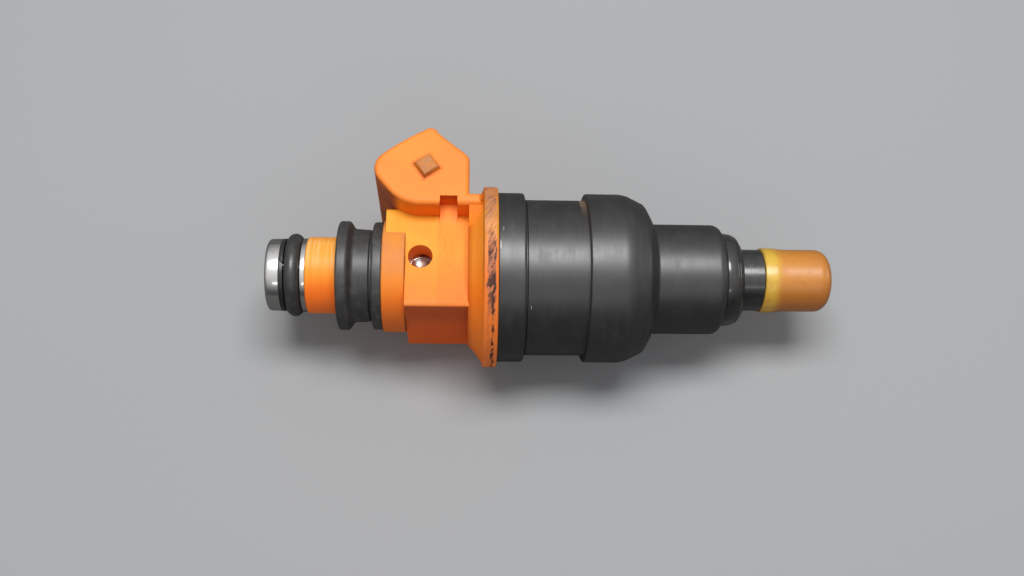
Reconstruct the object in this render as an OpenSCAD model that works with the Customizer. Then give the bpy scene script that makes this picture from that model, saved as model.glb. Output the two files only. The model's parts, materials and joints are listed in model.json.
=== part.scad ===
// Top-feed solenoid fuel injector, lying on its side.
// The injector axis is X: fuel enters at the -X end and sprays out at +X.
// The electrical connector leans out along +Y, and the flat face with the
// staking hole looks up, along +Z. The origin is on the axis, at the seat
// where the spigot leaves the shoulder of the lower cup.

/* [Manifold spigot and cup] */
// Radius of the spigot that enters the manifold
spigot_r = 7.4; // [7.2:0.05:7.8]
// Length of the spigot from the seat to its end
spigot_len = 9; // [8:0.1:11]
// Rounding of the spigot's end
spigot_nose_r = 1.3; // [0.8:0.1:1.8]
// Wall of the cup around the case
cup_wall = 0.9; // [0.7:0.05:1.1]
// Length of the cup from its lip to the seat
cup_len = 9.5; // [8.5:0.1:11]
// Length of the cup's tapered shoulder
cup_taper_len = 4.4; // [4:0.1:4.6]
// Radius at the end of the tapered shoulder
cup_taper_r = 9.75; // [9.5:0.05:10]
// Depth from the cup's inner shoulder to the seat
cup_floor = 4.6; // [4.3:0.1:5]

/* [Solenoid case] */
// Outer radius of the case barrel
case_r = 10.45; // [10.3:0.05:11]
// Wall of the case barrel
case_wall = 1.15; // [0.9:0.05:1.4]
// Length of barrel that shows between the collar and the cup
barrel_len = 8.05; // [7.5:0.05:9]
// Length of the crimped collar at the top of the case
case_collar_len = 3.55; // [3:0.05:4]
// How far the collar stands out from the barrel
case_collar_rise = 0.9; // [0.6:0.05:1.1]
// Thickness of the case floor, which leads the flux to the armature
case_floor = 2.2; // [1.8:0.1:2.6]
// Outer radius of the case nose that holds the valve body
case_nose_r = 6.6; // [6.4:0.05:6.8]
// Wall of the case nose
case_nose_wall = 1.2; // [1:0.05:1.4]
// Length of the crimped lip that holds the valve body in
crimp_len = 0.7; // [0.5:0.05:0.9]

/* [Coil] */
// Radius of the pole that passes through the coil
pole_r = 4; // [3.9:0.05:4.2]
// Thickness of the flange that closes the top of the case
pole_flange = 2; // [1.6:0.1:2.4]
// Wall of the bobbin's hub
hub_wall = 0.95; // [0.8:0.05:1.1]
// Thickness of each bobbin flange
bobbin_flange = 0.9; // [0.7:0.05:1.1]
// Gap between the winding and the case
winding_gap = 0.6; // [0.4:0.05:1]
// Diameter of the winding wire, as wound
wire_d = 0.62; // [0.45:0.01:0.8]
// Cord diameter of the two coil seals
coil_seal_d = 1.1; // [0.9:0.05:1.2]
// Radius of the bobbin's terminal towers
tower_r = 1.55; // [1.5:0.05:1.65]

/* [Needle valve] */
// Travel of the needle between its seat and the stop plate
needle_lift = 0.15; // [0.08:0.01:0.25]
// Air gap left between the pole and the open armature
air_gap = 0.05; // [0.04:0.01:0.15]
// Length of the armature
armature_len = 7.2; // [6.5:0.1:8]
// Radial running clearance of the armature
armature_gap = 0.05; // [0.03:0.01:0.09]
// Thickness of the needle stop plate
stop_plate_t = 1.1; // [0.9:0.05:1.4]
// Length of the valve body's head, inside the case nose
valve_head_len = 5.9; // [5.5:0.1:6.4]
// Radius of the valve body's shank
shank_r = 3.6; // [3.4:0.05:3.7]
// Length of the valve body's shank inside the cap
shank_in_cap = 4.4; // [3.8:0.1:5]
// Radius of the bore that guides the needle
guide_r = 2; // [1.8:0.05:2.2]
// Radial running clearance of the needle's guide lands
guide_gap = 0.03; // [0.02:0.01:0.06]
// Radius of the needle's shaft
needle_r = 1.25; // [1.1:0.05:1.4]
// Radius of the metering orifice
orifice_r = 0.75; // [0.6:0.05:0.9]
// Wire diameter of the return spring
spring_wire_d = 0.55; // [0.45:0.05:0.6]
// Number of turns of the return spring
spring_turns = 9; // [7:1:10]

/* [Nozzle] */
// Largest radius of the nozzle seal
seal_r = 6.3; // [6:0.05:6.5]
// Length of the nozzle seal
seal_len = 2.9; // [2.5:0.1:3.6]
// Outer radius of the spacer sleeve
spacer_r = 4.15; // [4:0.05:4.25]
// Length of spacer sleeve that shows between seal and cap
spacer_show = 2.6; // [2:0.1:3.2]
// Radius of the cap's body
cap_r = 4.2; // [4.1:0.05:4.35]
// How far the cap's lip stands out from its body
cap_lip_rise = 0.16; // [0.1:0.01:0.25]
// Length of the cap's lip
cap_lip_len = 3; // [2.4:0.1:3.6]
// Length of the cap
cap_len = 9.35; // [8.8:0.05:10]
// Rounding of the cap's end
cap_nose_r = 1.6; // [1.3:0.1:1.8]
// Radius of the cap's spray mouth
mouth_r = 1.5; // [1.3:0.05:1.8]

/* [Flange and block] */
// Radius of the flange rim
rim_r = 12.1; // [11.9:0.05:12.5]
// Length of the flange rim
rim_len = 1.9; // [1.6:0.05:2.3]
// Radius of the flange where it leaves the block
bell_r = 9.2; // [9:0.05:9.5]
// Length of the flange's domed back
bell_len = 1.95; // [1.6:0.05:2.3]
// Half width of the block across Y
block_half_y = 6.85; // [6.7:0.05:7]
// Height of the block's flat face over the axis
block_top_z = 6.7; // [6.6:0.05:6.9]
// Depth of the block's underside below the axis
block_low_z = 8.1; // [7.8:0.05:8.4]
// Length of the block
block_len = 8.15; // [8:0.05:9]
// Rounding of the block's edges
block_edge_r = 0.5; // [0.3:0.05:0.7]
// Radius of the disc between block and grommet
disc_r = 7.5; // [7.3:0.05:7.7]
// Length of the disc
disc_len = 3.05; // [2.6:0.05:3.3]
// Radius of the staking hole
stake_r = 1.6; // [1.4:0.05:1.8]
// Distance from the disc to the staking hole's centre
stake_from_disc = 1.95; // [1.8:0.05:2.6]

/* [Connector] */
// Lean of the connector towards the inlet, in degrees
lean = 35; // [32:0.5:37]
// Outer width of the connector, across Z
socket_w = 20.8; // [20.4:0.1:21.4]
// Thickness of the socket's hollow
socket_gap = 7.5; // [7.2:0.1:7.8]
// Front wall of the socket, at the mouth
socket_front_wall = 1.7; // [1.5:0.05:2]
// Flare of the socket's front face towards the mouth, in degrees
socket_flare = 4; // [1:0.5:6]
// Back and side walls of the socket
socket_wall = 1.25; // [1.1:0.05:1.4]
// Depth of the socket
socket_depth = 7.55; // [7.2:0.05:7.8]
// Height of the socket's mouth over the axis, along the lean
mouth_height = 19.2; // [19:0.05:20]
// Height of the crown in the middle of the mouth's edge, before its rounding
mouth_crown = 0.5; // [0.2:0.05:0.7]
// Distance from the case to the socket's back wall
web_from_case = 3.8; // [3.5:0.1:4.2]
// Height of the connector's lower edge over the axis
step_y = 5.8; // [5.6:0.05:6]
// Rounding of the corner between mouth and front face
socket_corner_r = 2.5; // [2:0.1:2.8]
// Rounding where the socket runs into its lower edge
socket_heel_r = 5; // [4:0.1:5.5]
// Rounding of the connector's side edges
side_edge = 0.6; // [0.2:0.05:0.7]
// Side of the square latch lug
lug_side = 2.8; // [2.4:0.1:3]
// Height of the latch lug
lug_rise = 0.6; // [0.4:0.05:0.8]
// Distance of the latch lug from the mouth
lug_from_mouth = 4.7; // [4.5:0.05:5.4]
// Width of the contact blades
blade_w = 2.8; // [2.6:0.1:2.9]
// Thickness of the contact blades
blade_t = 0.8; // [0.7:0.05:0.9]
// Distance between the contact blades' centres
blade_pitch = 5; // [4.8:0.1:5.4]
// How deep the blade tips stand under the mouth
blade_recess = 1.85; // [1.5:0.05:2.4]

/* [Rail end] */
// Radius of the sleeve between grommet and O-ring
sleeve_r = 5.1; // [5:0.05:5.2]
// Length of the sleeve that shows
sleeve_len = 4.15; // [3.8:0.05:4.6]
// Largest radius of the grommet
grommet_r = 7.3; // [7.1:0.05:7.45]
// Length of the grommet
grommet_len = 5.9; // [5.5:0.1:6.5]
// Depth of the grommet's groove
grommet_groove = 1.15; // [0.8:0.05:1.3]
// Radius of the tube's tip
tip_r = 4.8; // [4.7:0.05:4.95]
// Length of the tube's tip
tip_len = 1.85; // [1.7:0.05:2.2]
// Rounding of the tube's tip
tip_edge_r = 0.5; // [0.3:0.05:0.6]
// Radius of the shoulder next to the sleeve
shoulder_r = 4.9; // [4.8:0.05:5]
// Length of the shoulder
shoulder_len = 0.65; // [0.5:0.05:0.8]
// Cord diameter of the rail O-ring
o_ring_d = 2.06; // [1.9:0.02:2.2]
// Outer radius of the rail O-ring
o_ring_r = 5.55; // [5.4:0.05:5.6]
// Thickness of the back-up ring
backup_t = 0.55; // [0.4:0.05:0.7]
// Radius of the inlet's mouth
inlet_r = 3.1; // [3:0.02:3.2]
// Depth of the inlet's mouth
inlet_depth = 1.6; // [1.2:0.1:1.7]
// Radius of the bore that holds the filter
filter_bore_r = 2.9; // [2.8:0.02:2.95]
// Length of the filter
filter_len = 9; // [8:0.5:11]

/* [Hidden] */

round_fn = 96;
small_fn = 32;
arc_steps = 6;
over = 1;                       // how far a cutting tool runs past the face it cuts
seat_gap = 0.03;                // clearance left where a moving face meets its seat

// Rail end
backup_gap = 0.06;              // play on each side of the back-up ring
gland_fit = 0.04;               // play under the O-ring
gland_r = o_ring_r - o_ring_d - gland_fit;
gland_len = backup_t + o_ring_d + 2 * backup_gap;
filter_ring_len = 1.4;
filter_wall = 0.35;
filter_gap = 0.5;               // room between the filter and the end of its bore
cage_r = filter_bore_r - filter_wall;
cage_floor = 0.6;
rib_t = 0.3;

// Stations along the axis, outwards from the seat at 0
x_spigot_end = spigot_len;
x_seal_end = x_spigot_end + seal_len;
x_cap = x_seal_end + spacer_show;
x_shank_end = x_cap + shank_in_cap;
x_cap_end = x_cap + cap_len;
x_case_step = -cup_floor;
x_case_floor = x_case_step - case_floor;
x_cup_lip = -cup_len;
x_barrel = x_cup_lip - barrel_len;
x_case_top = x_barrel - case_collar_len;
x_pole_flange = x_case_top + pole_flange;
x_rim = x_case_top - rim_len;
x_block_end = x_rim - bell_len;
x_disc = x_block_end - block_len;
x_grommet_end = x_disc - disc_len;
x_grommet = x_grommet_end - grommet_len;
x_sleeve = x_grommet - sleeve_len;
x_shoulder = x_sleeve - shoulder_len;
x_gland = x_shoulder - gland_len;
x_tip = x_gland - tip_len;
x_filter = x_tip + inlet_depth;
x_filter_end = x_filter + filter_len;
x_filter_bore_end = x_filter_end + filter_gap;
x_stake = x_disc + stake_from_disc;

// Case and coil
case_bore_r = case_r - case_wall;
nose_bore_r = case_nose_r - case_nose_wall;
crimp_cover = 0.6;              // how far the crimped lip reaches over the valve body
crimp_r = nose_bore_r - crimp_cover;
cup_r = case_r + cup_wall;
bobbin_bore_r = pole_r + armature_gap;
hub_r = bobbin_bore_r + hub_wall;
hub_fillet = 0.5;
bobbin_fit = 0.15;
bobbin_r = case_bore_r - bobbin_fit;
winding_r = case_bore_r - winding_gap;
x_bobbin_end = x_case_floor - coil_seal_d;
x_winding = x_pole_flange + bobbin_flange;
x_winding_end = x_bobbin_end - bobbin_flange;
seal_play = 0.03;               // play between a coil seal and the wall under it
seal_squeeze = 0.04;            // how much a coil seal is squeezed along the axis
seal_groove_depth = coil_seal_d - seal_squeeze;
seal_groove_r = pole_r + coil_seal_d + 2 * seal_play;

// Terminal towers, which pass through the pole's flange
tower_rise = 0.8;
tower_fit = 0.1;
tower_root = 0.1;               // how far a tower is sunk into the bobbin's flange
tower_edge = 0.78;              // metal between a tower's hole and the flange's edge
tower_z = blade_pitch / 2;
leg_from_axis = case_bore_r - tower_edge - tower_fit - tower_r;
leg_y = sqrt(leg_from_axis * leg_from_axis - tower_z * tower_z);
leg_w = 1.6;
leg_depth = 0.5;                // how far the legs enter the bobbin's flange

// Valve
armature_floor_gap = 0.3;
x_armature_end = x_case_step - armature_floor_gap;
x_armature = x_armature_end - armature_len;
armature_r = pole_r - armature_gap;
x_pole_end = x_armature - needle_lift - air_gap;
x_plate_end = x_case_step + stop_plate_t;
plate_fit = 0.05;
x_head_end = x_plate_end + valve_head_len;
x_nose_end = x_head_end + crimp_len;
needle_collar_rise = 0.4;
needle_collar_r = guide_r + needle_collar_rise;
needle_collar_len = 0.9;
counterbore_gap = 0.5;          // room for fuel around the needle's collar
counterbore_r = needle_collar_r + counterbore_gap;
counterbore_depth = 2.5;
x_guide = x_plate_end + counterbore_depth;
seat_cone_len = 1.1;
seat_land = 1.3;
x_seat_end = x_shank_end - seat_land;
x_seat_cone = x_seat_end - seat_cone_len;
tail_rise = 0.25;               // how much thicker the needle is where the armature holds it
tail_r = needle_r + tail_rise;
tail_len = 2.7;
head_groove_at = 1.6;           // distance of the seal's groove from the valve body's head
head_groove_len = 1.05;
head_groove_depth = 0.9;
head_groove_r = nose_bore_r - head_groove_depth;
head_seal_d = 0.86;
head_seal_play = 0.02;

// Spring and adjusting tube
tube_bore_r = 2.2;
tube_wall = 0.8;
tube_slot_w = 0.5;
adjust_len = 14;
adjust_lead = 5;                // how far the adjusting tube starts before the stake
x_adjust = x_stake - adjust_lead;
x_adjust_end = x_adjust + adjust_len;
spring_pocket_r = 2.2;
spring_pocket_depth = 2.5;
x_spring_end = x_armature + spring_pocket_depth;
spring_slack = 0.05;
spring_fit = 0.3;
spring_r = tube_bore_r - spring_fit - spring_wire_d / 2;
spring_end_pitch = spring_wire_d * 1.1;

// Connector
half_w = socket_w / 2;
socket_back = 2.9;              // the socket's back face, across the lean
gap_back = socket_back - socket_wall;
gap_front = gap_back - socket_gap;
gap_mid = (gap_front + gap_back) / 2;
mouth_front = gap_front - socket_front_wall;
socket_floor = mouth_height - socket_depth;
socket_floor_cut = 2.4;         // bevel between the socket's floor and its front wall
socket_inner_r = 0.6;
socket_back_r = 0.9;
crown_r = 25;                   // rounding of the mouth's crown
lip_len = 1.5;                  // length of back wall that stands clear of the web
web_shoulder_y = 12.8;
web_foot_y = 7.5;
web_foot_gap = 0.3;             // gap between the web's foot and the flange rim
x_web = x_case_top - web_from_case;
x_web_foot = x_rim - web_foot_gap;
shelf_back = 0.4;               // how far the block's shelf stops short of the grommet
notch_w = 2.25;
notch_depth = 1.15;
notch_from_case = 6.45;
notch_overcut = 0.01;
lug_across = -1.25;             // the lug's centre, across the lean
lug_taper = 0.76;               // width of a lug's face, as a share of its foot
lug_root = 0.05;                // how far a lug is sunk into the socket's wall
dimple_r = 0.8;                 // radius of the stake's dimple at the tube's surface
dimple_tip_r = 0.35;
dimple_depth = 0.45;

// A point at (across, along) of the leaning socket, in X and Y
function lean_pt(across, along) = [
    x_case_top + across * cos(lean) - along * sin(lean),
    across * sin(lean) + along * cos(lean)
];

// How far along the lean the line at (across) meets the height y
function along_at(across, y) = (y - across * sin(lean)) / cos(lean);

function arc(centre, r, from, to, steps = arc_steps) = [
    for (i = [0:steps]) centre + r * [cos(from + (to - from) * i / steps), sin(from + (to - from) * i / steps)]
];

// The arc of radius r that rounds the corner b between the points a and c
function fillet(a, b, c, r, steps = arc_steps) = let (
    u = (a - b) / norm(a - b),
    v = (c - b) / norm(c - b),
    half = acos(u * v) / 2,
    centre = b + (u + v) / norm(u + v) * r / sin(half),
    from_centre = b + u * r / tan(half) - centre,
    start = atan2(from_centre.y, from_centre.x),
    turn = (180 - 2 * half) * sign(u.y * v.x - u.x * v.y)
) arc(centre, r, start, start + turn, steps);

// A shallow bulge between two points, with the given height in its middle
function bulge(p, q, height, steps = arc_steps) = let (
    along = q - p,
    out = [-along.y, along.x] / norm(along)
) [for (i = [0:steps]) p + along * i / steps + out * height * 4 * (i / steps) * (1 - i / steps)];

// Where the valve seat's cone has the radius r
function seat_x(r) = x_seat_cone + seat_cone_len * (guide_r - r) / (guide_r - orifice_r);

// A solid of revolution about the injector axis, from [radius, x] points
module turned(points) {
    rotate([0, 90, 0]) rotate_extrude($fn = round_fn) polygon(points);
}

module ring(x0, x1, r_out, r_in) {
    turned([[r_in, x0], [r_out, x0], [r_out, x1], [r_in, x1]]);
}

module rod(x0, x1, r) {
    translate([x0, 0, 0]) rotate([0, 90, 0]) cylinder(h = x1 - x0, r = r, $fn = round_fn);
}

module cord_ring(x, r, cord_d) {
    translate([x, 0, 0]) rotate([0, 90, 0])
        rotate_extrude($fn = round_fn) translate([r, 0]) circle(d = cord_d, $fn = small_fn);
}

module inlet_tube() {
    dimple_slope = (dimple_r - dimple_tip_r) / dimple_depth;
    dimple_h = dimple_depth + over;
    color("lightsteelblue") difference() {
        turned(concat(
            [[inlet_r, x_tip]],
            arc([tip_r - tip_edge_r, x_tip + tip_edge_r], tip_edge_r, -90, 0),
            [
                [tip_r, x_gland], [gland_r, x_gland], [gland_r, x_shoulder],
                [shoulder_r, x_shoulder], [shoulder_r, x_sleeve], [pole_r, x_sleeve],
                [pole_r, x_case_top], [case_bore_r, x_case_top], [case_bore_r, x_pole_flange],
                [pole_r, x_pole_flange], [pole_r, x_pole_end], [tube_bore_r, x_pole_end],
                [tube_bore_r, x_filter_bore_end], [filter_bore_r, x_filter_bore_end],
                [filter_bore_r, x_filter], [inlet_r, x_filter]
            ]
        ));
        for (side = [-1, 1])
            translate([x_case_top - over, leg_y, side * tower_z]) rotate([0, 90, 0])
                cylinder(h = pole_flange + 2 * over, r = tower_r + tower_fit, $fn = round_fn);
        translate([x_stake, 0, pole_r - dimple_depth])
            cylinder(h = dimple_h, r1 = dimple_tip_r, r2 = dimple_tip_r + dimple_slope * dimple_h, $fn = small_fn);
    }
}

module filter_ring() {
    color("goldenrod") ring(x_filter, x_filter + filter_ring_len, filter_bore_r, cage_r);
}

module filter_cage() {
    ribs = 4;
    rib_w = 0.7;
    screen_play = 0.05;
    x_cage = x_filter + filter_ring_len;
    color("ivory") {
        ring(x_cage, x_cage + cage_floor, filter_bore_r, cage_r - rib_t);
        rod(x_filter_end - cage_floor, x_filter_end, cage_r);
        for (i = [0:ribs - 1])
            rotate([i * 360 / ribs, 0, 0])
                translate([x_cage, -rib_w / 2, cage_r - rib_t])
                    cube([x_filter_end - x_cage, rib_w, rib_t - screen_play]);
    }
}

module filter_screen() {
    screen_r = cage_r - rib_t;
    screen_t = 0.1;
    color("lightgrey")
        ring(x_filter + filter_ring_len + cage_floor, x_filter_end - cage_floor, screen_r, screen_r - screen_t);
}

module rail_o_ring() {
    color([0.1, 0.1, 0.1])
        cord_ring(x_shoulder - backup_gap - o_ring_d / 2, o_ring_r - o_ring_d / 2, o_ring_d);
}

module backup_ring() {
    backup_rise = 0.04;
    color([0.2, 0.2, 0.2]) ring(x_gland, x_gland + backup_t, tip_r + backup_rise, gland_r);
}

module adjusting_tube() {
    color("silver") difference() {
        ring(x_adjust, x_adjust_end, tube_bore_r, tube_bore_r - tube_wall);
        // the slot that lets the tube spring into the bore
        translate([x_adjust - over, -tube_slot_w / 2, -tube_bore_r - over])
            cube([adjust_len + 2 * over, tube_slot_w, tube_bore_r + over]);
    }
}

// Centre line of the spring's wire: close end coils, then an even pitch
function spring_x(turn, x0, x1) = let (
    free = (x1 - x0 - 2 * spring_end_pitch) / (spring_turns - 2),
    middle = x0 + spring_end_pitch
) turn < 1 ? x0 + turn * spring_end_pitch
    : turn > spring_turns - 1 ? middle + (spring_turns - 2) * free + (turn - spring_turns + 1) * spring_end_pitch
    : middle + (turn - 1) * free;

module return_spring() {
    steps = 14;
    sides = 8;
    rings = spring_turns * steps;
    wire_r = spring_wire_d / 2;
    x0 = x_adjust_end + spring_slack + wire_r;
    x1 = x_spring_end - spring_slack - wire_r;
    points = [
        for (i = [0:rings], k = [0:sides - 1])
            let (
                turn = i / steps,
                a = 360 * turn,
                b = 360 * k / sides,
                r = spring_r + cos(b) * wire_r
            ) [spring_x(turn, x0, x1) + sin(b) * wire_r, r * cos(a), r * sin(a)]
    ];
    walls = [
        for (i = [0:rings - 1], k = [0:sides - 1])
            let (n = (k + 1) % sides)
                [i * sides + k, i * sides + n, (i + 1) * sides + n, (i + 1) * sides + k]
    ];
    first = [for (k = [sides - 1:-1:0]) k];
    last = [for (k = [0:sides - 1]) rings * sides + k];
    color("silver") polyhedron(points, concat(walls, [first, last]));
}

// The socket's outline, seen along Z, drawn smaller by inset
module socket_outline(inset = 0) {
    low = step_y + inset;
    top = mouth_height - inset;
    back = socket_back - inset;
    front = mouth_front + inset / cos(socket_flare);
    foot_along = along_at(mouth_front + (mouth_height - along_at(mouth_front, low)) * tan(socket_flare), low);
    mouth_corner = lean_pt(front + (mouth_height - top) * tan(socket_flare), top);
    foot = lean_pt(front + (mouth_height - foot_along) * tan(socket_flare), foot_along);
    heel = mouth_corner + (foot - mouth_corner) * (mouth_corner.y - low) / (mouth_corner.y - foot.y);
    back_corner = lean_pt(back, top);
    peak = lean_pt(gap_mid, top + mouth_crown);
    web_x = x_web - inset;
    back_meet = back_corner + [1, -1 / tan(lean)] * (web_x - back_corner.x);
    polygon(concat(
        fillet(peak, mouth_corner, heel, socket_corner_r),
        fillet(mouth_corner, heel, [web_x, low], socket_heel_r),
        [[web_x, low], back_meet],
        fillet(back_meet, back_corner, peak, socket_back_r),
        fillet(back_corner, peak, mouth_corner, crown_r)
    ));
}

// The web that joins the socket to the flange, drawn smaller by inset
module web_outline(inset = 0) {
    top = lean_pt(socket_back, mouth_height - lip_len);
    start = lean_pt(gap_mid, mouth_height - lip_len - inset);
    low = step_y + inset;
    polygon([
        start, top - [0, inset], [x_web - inset, web_shoulder_y - inset], [x_web - inset, low],
        [lean_pt(gap_mid, along_at(gap_mid, low)).x, low]
    ]);
}

// A prism across Z with rounded side edges, cut from two outlines
module side_prism() {
    hull() {
        linear_extrude(height = socket_w - 2 * side_edge, center = true) children(0);
        linear_extrude(height = socket_w, center = true) children(1);
    }
}

module connector_body() {
    side_prism() {
        socket_outline();
        socket_outline(side_edge);
    }
    side_prism() {
        web_outline();
        web_outline(side_edge);
    }
    foot_len = x_web_foot - x_web;
    translate([x_web - over, step_y, -half_w])
        cube([foot_len + over, web_foot_y - step_y, socket_w]);
}

// The latch lugs, one on each side of the socket, with sloping flanks
module lugs() {
    at = lean_pt(lug_across, mouth_height - lug_from_mouth);
    for (turn = [0, 180])
        rotate([turn, 0, 0]) translate([at.x, turn == 0 ? at.y : -at.y, half_w - lug_root])
            rotate([0, 0, turn == 0 ? lean : -lean])
                linear_extrude(height = lug_rise + lug_root, scale = lug_taper) square(lug_side, center = true);
}

// The socket's hollow: a slot with rounded corners and a bevel at its floor
module socket_cavity() {
    mouth = mouth_height + over;
    at = lean_pt(gap_mid, socket_floor);
    wide = 2 * (half_w - socket_wall);
    intersection() {
        linear_extrude(height = socket_w, center = true) polygon([
            lean_pt(gap_front, mouth), lean_pt(gap_front, socket_floor + socket_floor_cut),
            lean_pt(gap_front + socket_floor_cut, socket_floor), lean_pt(gap_back, socket_floor),
            lean_pt(gap_back, mouth)
        ]);
        translate([at.x, at.y, 0]) rotate([0, 0, lean]) rotate([-90, 0, 0])
            translate([0, 0, -over]) linear_extrude(height = socket_depth + 3 * over) {
                square([socket_gap, wide - 2 * socket_inner_r], center = true);
                square([socket_gap - 2 * socket_inner_r, wide], center = true);
                for (a = [-1, 1], b = [-1, 1])
                    translate([a * (socket_gap / 2 - socket_inner_r), b * (wide / 2 - socket_inner_r)])
                        circle(r = socket_inner_r, $fn = small_fn);
            }
    }
}

// One bent contact strip: a blade in the socket and a leg along the axis
module contact(side) {
    blade_root = 0.4;           // how far the wide blade is sunk under the socket's floor
    tip_len = 0.8;
    tip_cut = 0.4;
    bend_along = along_at(gap_mid, leg_y);
    bend = lean_pt(gap_mid, bend_along);
    neck = socket_floor - bend_along - blade_root;
    blade_len = mouth_height - blade_recess - bend_along;
    half_blade = blade_w / 2;
    z = side * tower_z;
    translate([bend.x, bend.y, z]) rotate([0, 0, lean])
        rotate([90, 0, 90]) translate([0, 0, -blade_t / 2]) linear_extrude(height = blade_t)
            polygon([
                [0, -leg_w / 2], [neck, -leg_w / 2], [neck, -half_blade], [blade_len - tip_len, -half_blade],
                [blade_len, tip_cut - half_blade], [blade_len, half_blade - tip_cut],
                [blade_len - tip_len, half_blade], [neck, half_blade], [neck, leg_w / 2], [0, leg_w / 2]
            ]);
    translate([bend.x - blade_t / 2, leg_y - blade_t / 2, z - leg_w / 2])
        cube([x_pole_flange + leg_depth - bend.x + blade_t / 2, blade_t, leg_w]);
}

module terminal_left() {
    color("tan") contact(-1);
}

module terminal_right() {
    color("tan") contact(1);
}

// The block's section, from y_low to y_high, with rounded edges
module block_section(y_low, y_high) {
    r = block_edge_r;
    translate([-block_top_z, y_low + r]) square([block_top_z + block_low_z, y_high - y_low - 2 * r]);
    translate([r - block_top_z, y_low]) square([block_top_z + block_low_z - 2 * r, y_high - y_low]);
    for (y = [y_low + r, y_high - r], z = [r - block_top_z, block_low_z - r])
        translate([z, y]) circle(r = r, $fn = small_fn);
}

// The block with the flat face, and its shelf beside the disc
module block() {
    translate([x_disc, 0, 0]) rotate([0, 90, 0])
        linear_extrude(height = x_block_end - x_disc + over) block_section(-block_half_y, block_half_y);
    translate([x_grommet_end + shelf_back, 0, 0]) rotate([0, 90, 0])
        linear_extrude(height = disc_len) block_section(0, block_half_y);
}

module flange_and_sleeve() {
    edge = 0.3;
    bell_dip = 0.15;            // how far the flange's back is dished
    rim_step = 0.4;             // how far the flange's back stops short of the rim
    rim_edge = 0.15;
    turned(concat(
        [
            [pole_r, x_sleeve], [sleeve_r - edge, x_sleeve], [sleeve_r, x_sleeve + edge],
            [sleeve_r, x_grommet_end], [disc_r - edge, x_grommet_end], [disc_r, x_grommet_end + edge],
            [disc_r, x_disc - edge], [disc_r - edge, x_disc], [disc_r - edge, x_block_end]
        ],
        bulge([bell_r, x_block_end], [rim_r - rim_step, x_rim], -bell_dip),
        [
            [rim_r - rim_edge, x_rim], [rim_r, x_rim + rim_edge], [rim_r, x_case_top - edge],
            [rim_r - edge, x_case_top], [pole_r, x_case_top]
        ]
    ));
}

module tower_pair(extra) {
    for (side = [-1, 1])
        translate([x_case_top - tower_rise, leg_y, side * tower_z]) rotate([0, 90, 0])
            cylinder(h = pole_flange + tower_rise + extra, r = tower_r, $fn = round_fn);
}

module connector_housing() {
    notch_span = half_w - block_top_z + 2 * notch_overcut;
    color("darkorange") difference() {
        union() {
            flange_and_sleeve();
            block();
            connector_body();
            lugs();
        }
        rod(x_sleeve - over, x_case_top + over, pole_r);
        socket_cavity();
        contact(-1);
        contact(1);
        tower_pair(over);
        translate([x_stake, 0, 0]) cylinder(h = disc_r + over, r = stake_r, $fn = small_fn);
        for (side = [-1, 1])
            translate([x_case_top - notch_from_case, step_y, side * (block_top_z + half_w) / 2])
                cube([notch_w, 2 * notch_depth, notch_span], center = true);
    }
}

module rail_grommet() {
    x = x_grommet;
    groove_r = grommet_r - grommet_groove;
    edge = 0.35;                // rounding of the outer bead
    bead = 1.3;                 // length of the outer bead
    slope = 0.75;               // length of the slope from the bead into the groove
    foot_rise = 0.15;
    foot_len = 0.25;
    inner_bead = 1.35;          // length of the bead next to the disc
    inner_step = 0.1;           // how much lower that bead is
    inner_slope = 0.3;
    lip_face = 0.75;
    undercut = 0.15;
    undercut_len = 0.3;
    x_lip = x_grommet_end - inner_bead;
    inner_r = grommet_r - inner_step;
    color([0.15, 0.15, 0.15]) turned(concat(
        [[sleeve_r, x]],
        arc([grommet_r - edge, x + edge], edge, -90, 0),
        [
            [grommet_r, x + bead], [groove_r + foot_rise, x + bead + slope],
            [groove_r, x + bead + slope + foot_len], [groove_r, x_lip - undercut_len - undercut],
            [groove_r - undercut, x_lip - undercut_len], [groove_r - undercut, x_lip],
            [groove_r + lip_face, x_lip], [inner_r, x_lip + inner_slope], [inner_r, x_grommet_end - undercut],
            [inner_r - undercut, x_grommet_end], [sleeve_r, x_grommet_end]
        ]
    ));
}

module coil_bobbin() {
    color("dimgrey") difference() {
        union() {
            turned([
                [seal_groove_r, x_pole_flange], [bobbin_r, x_pole_flange], [bobbin_r, x_winding],
                [hub_r + hub_fillet, x_winding], [hub_r, x_winding + hub_fillet],
                [hub_r, x_winding_end], [bobbin_r, x_winding_end], [bobbin_r, x_bobbin_end],
                [hub_r, x_bobbin_end], [hub_r, x_case_floor], [bobbin_bore_r, x_case_floor],
                [bobbin_bore_r, x_pole_flange + seal_groove_depth],
                [seal_groove_r, x_pole_flange + seal_groove_depth]
            ]);
            tower_pair(tower_root);
        }
        contact(-1);
        contact(1);
    }
}

// The winding's outside shows its last layer, one bead for each turn
module coil_winding() {
    bead_share = 0.98;          // share of the pitch that each bead fills
    inner = hub_r + hub_fillet;
    x0 = x_winding + hub_fillet;
    x1 = x_winding_end;
    turns = floor((x1 - x0) / wire_d);
    pitch = (x1 - x0) / turns;
    core_r = winding_r - pitch / 2;
    color("peru") {
        ring(x_winding, x1, core_r, inner);
        ring(x0, x1, inner, hub_r);
        for (i = [0:turns - 1])
            cord_ring(x0 + (i + 0.5) * pitch, core_r, pitch * bead_share);
    }
}

module coil_seal_upper() {
    cord_d = seal_groove_depth - seal_squeeze;
    color([0.1, 0.1, 0.1])
        cord_ring(x_pole_flange + seal_groove_depth / 2, pole_r + coil_seal_d / 2 + seal_play, cord_d);
}

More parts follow.
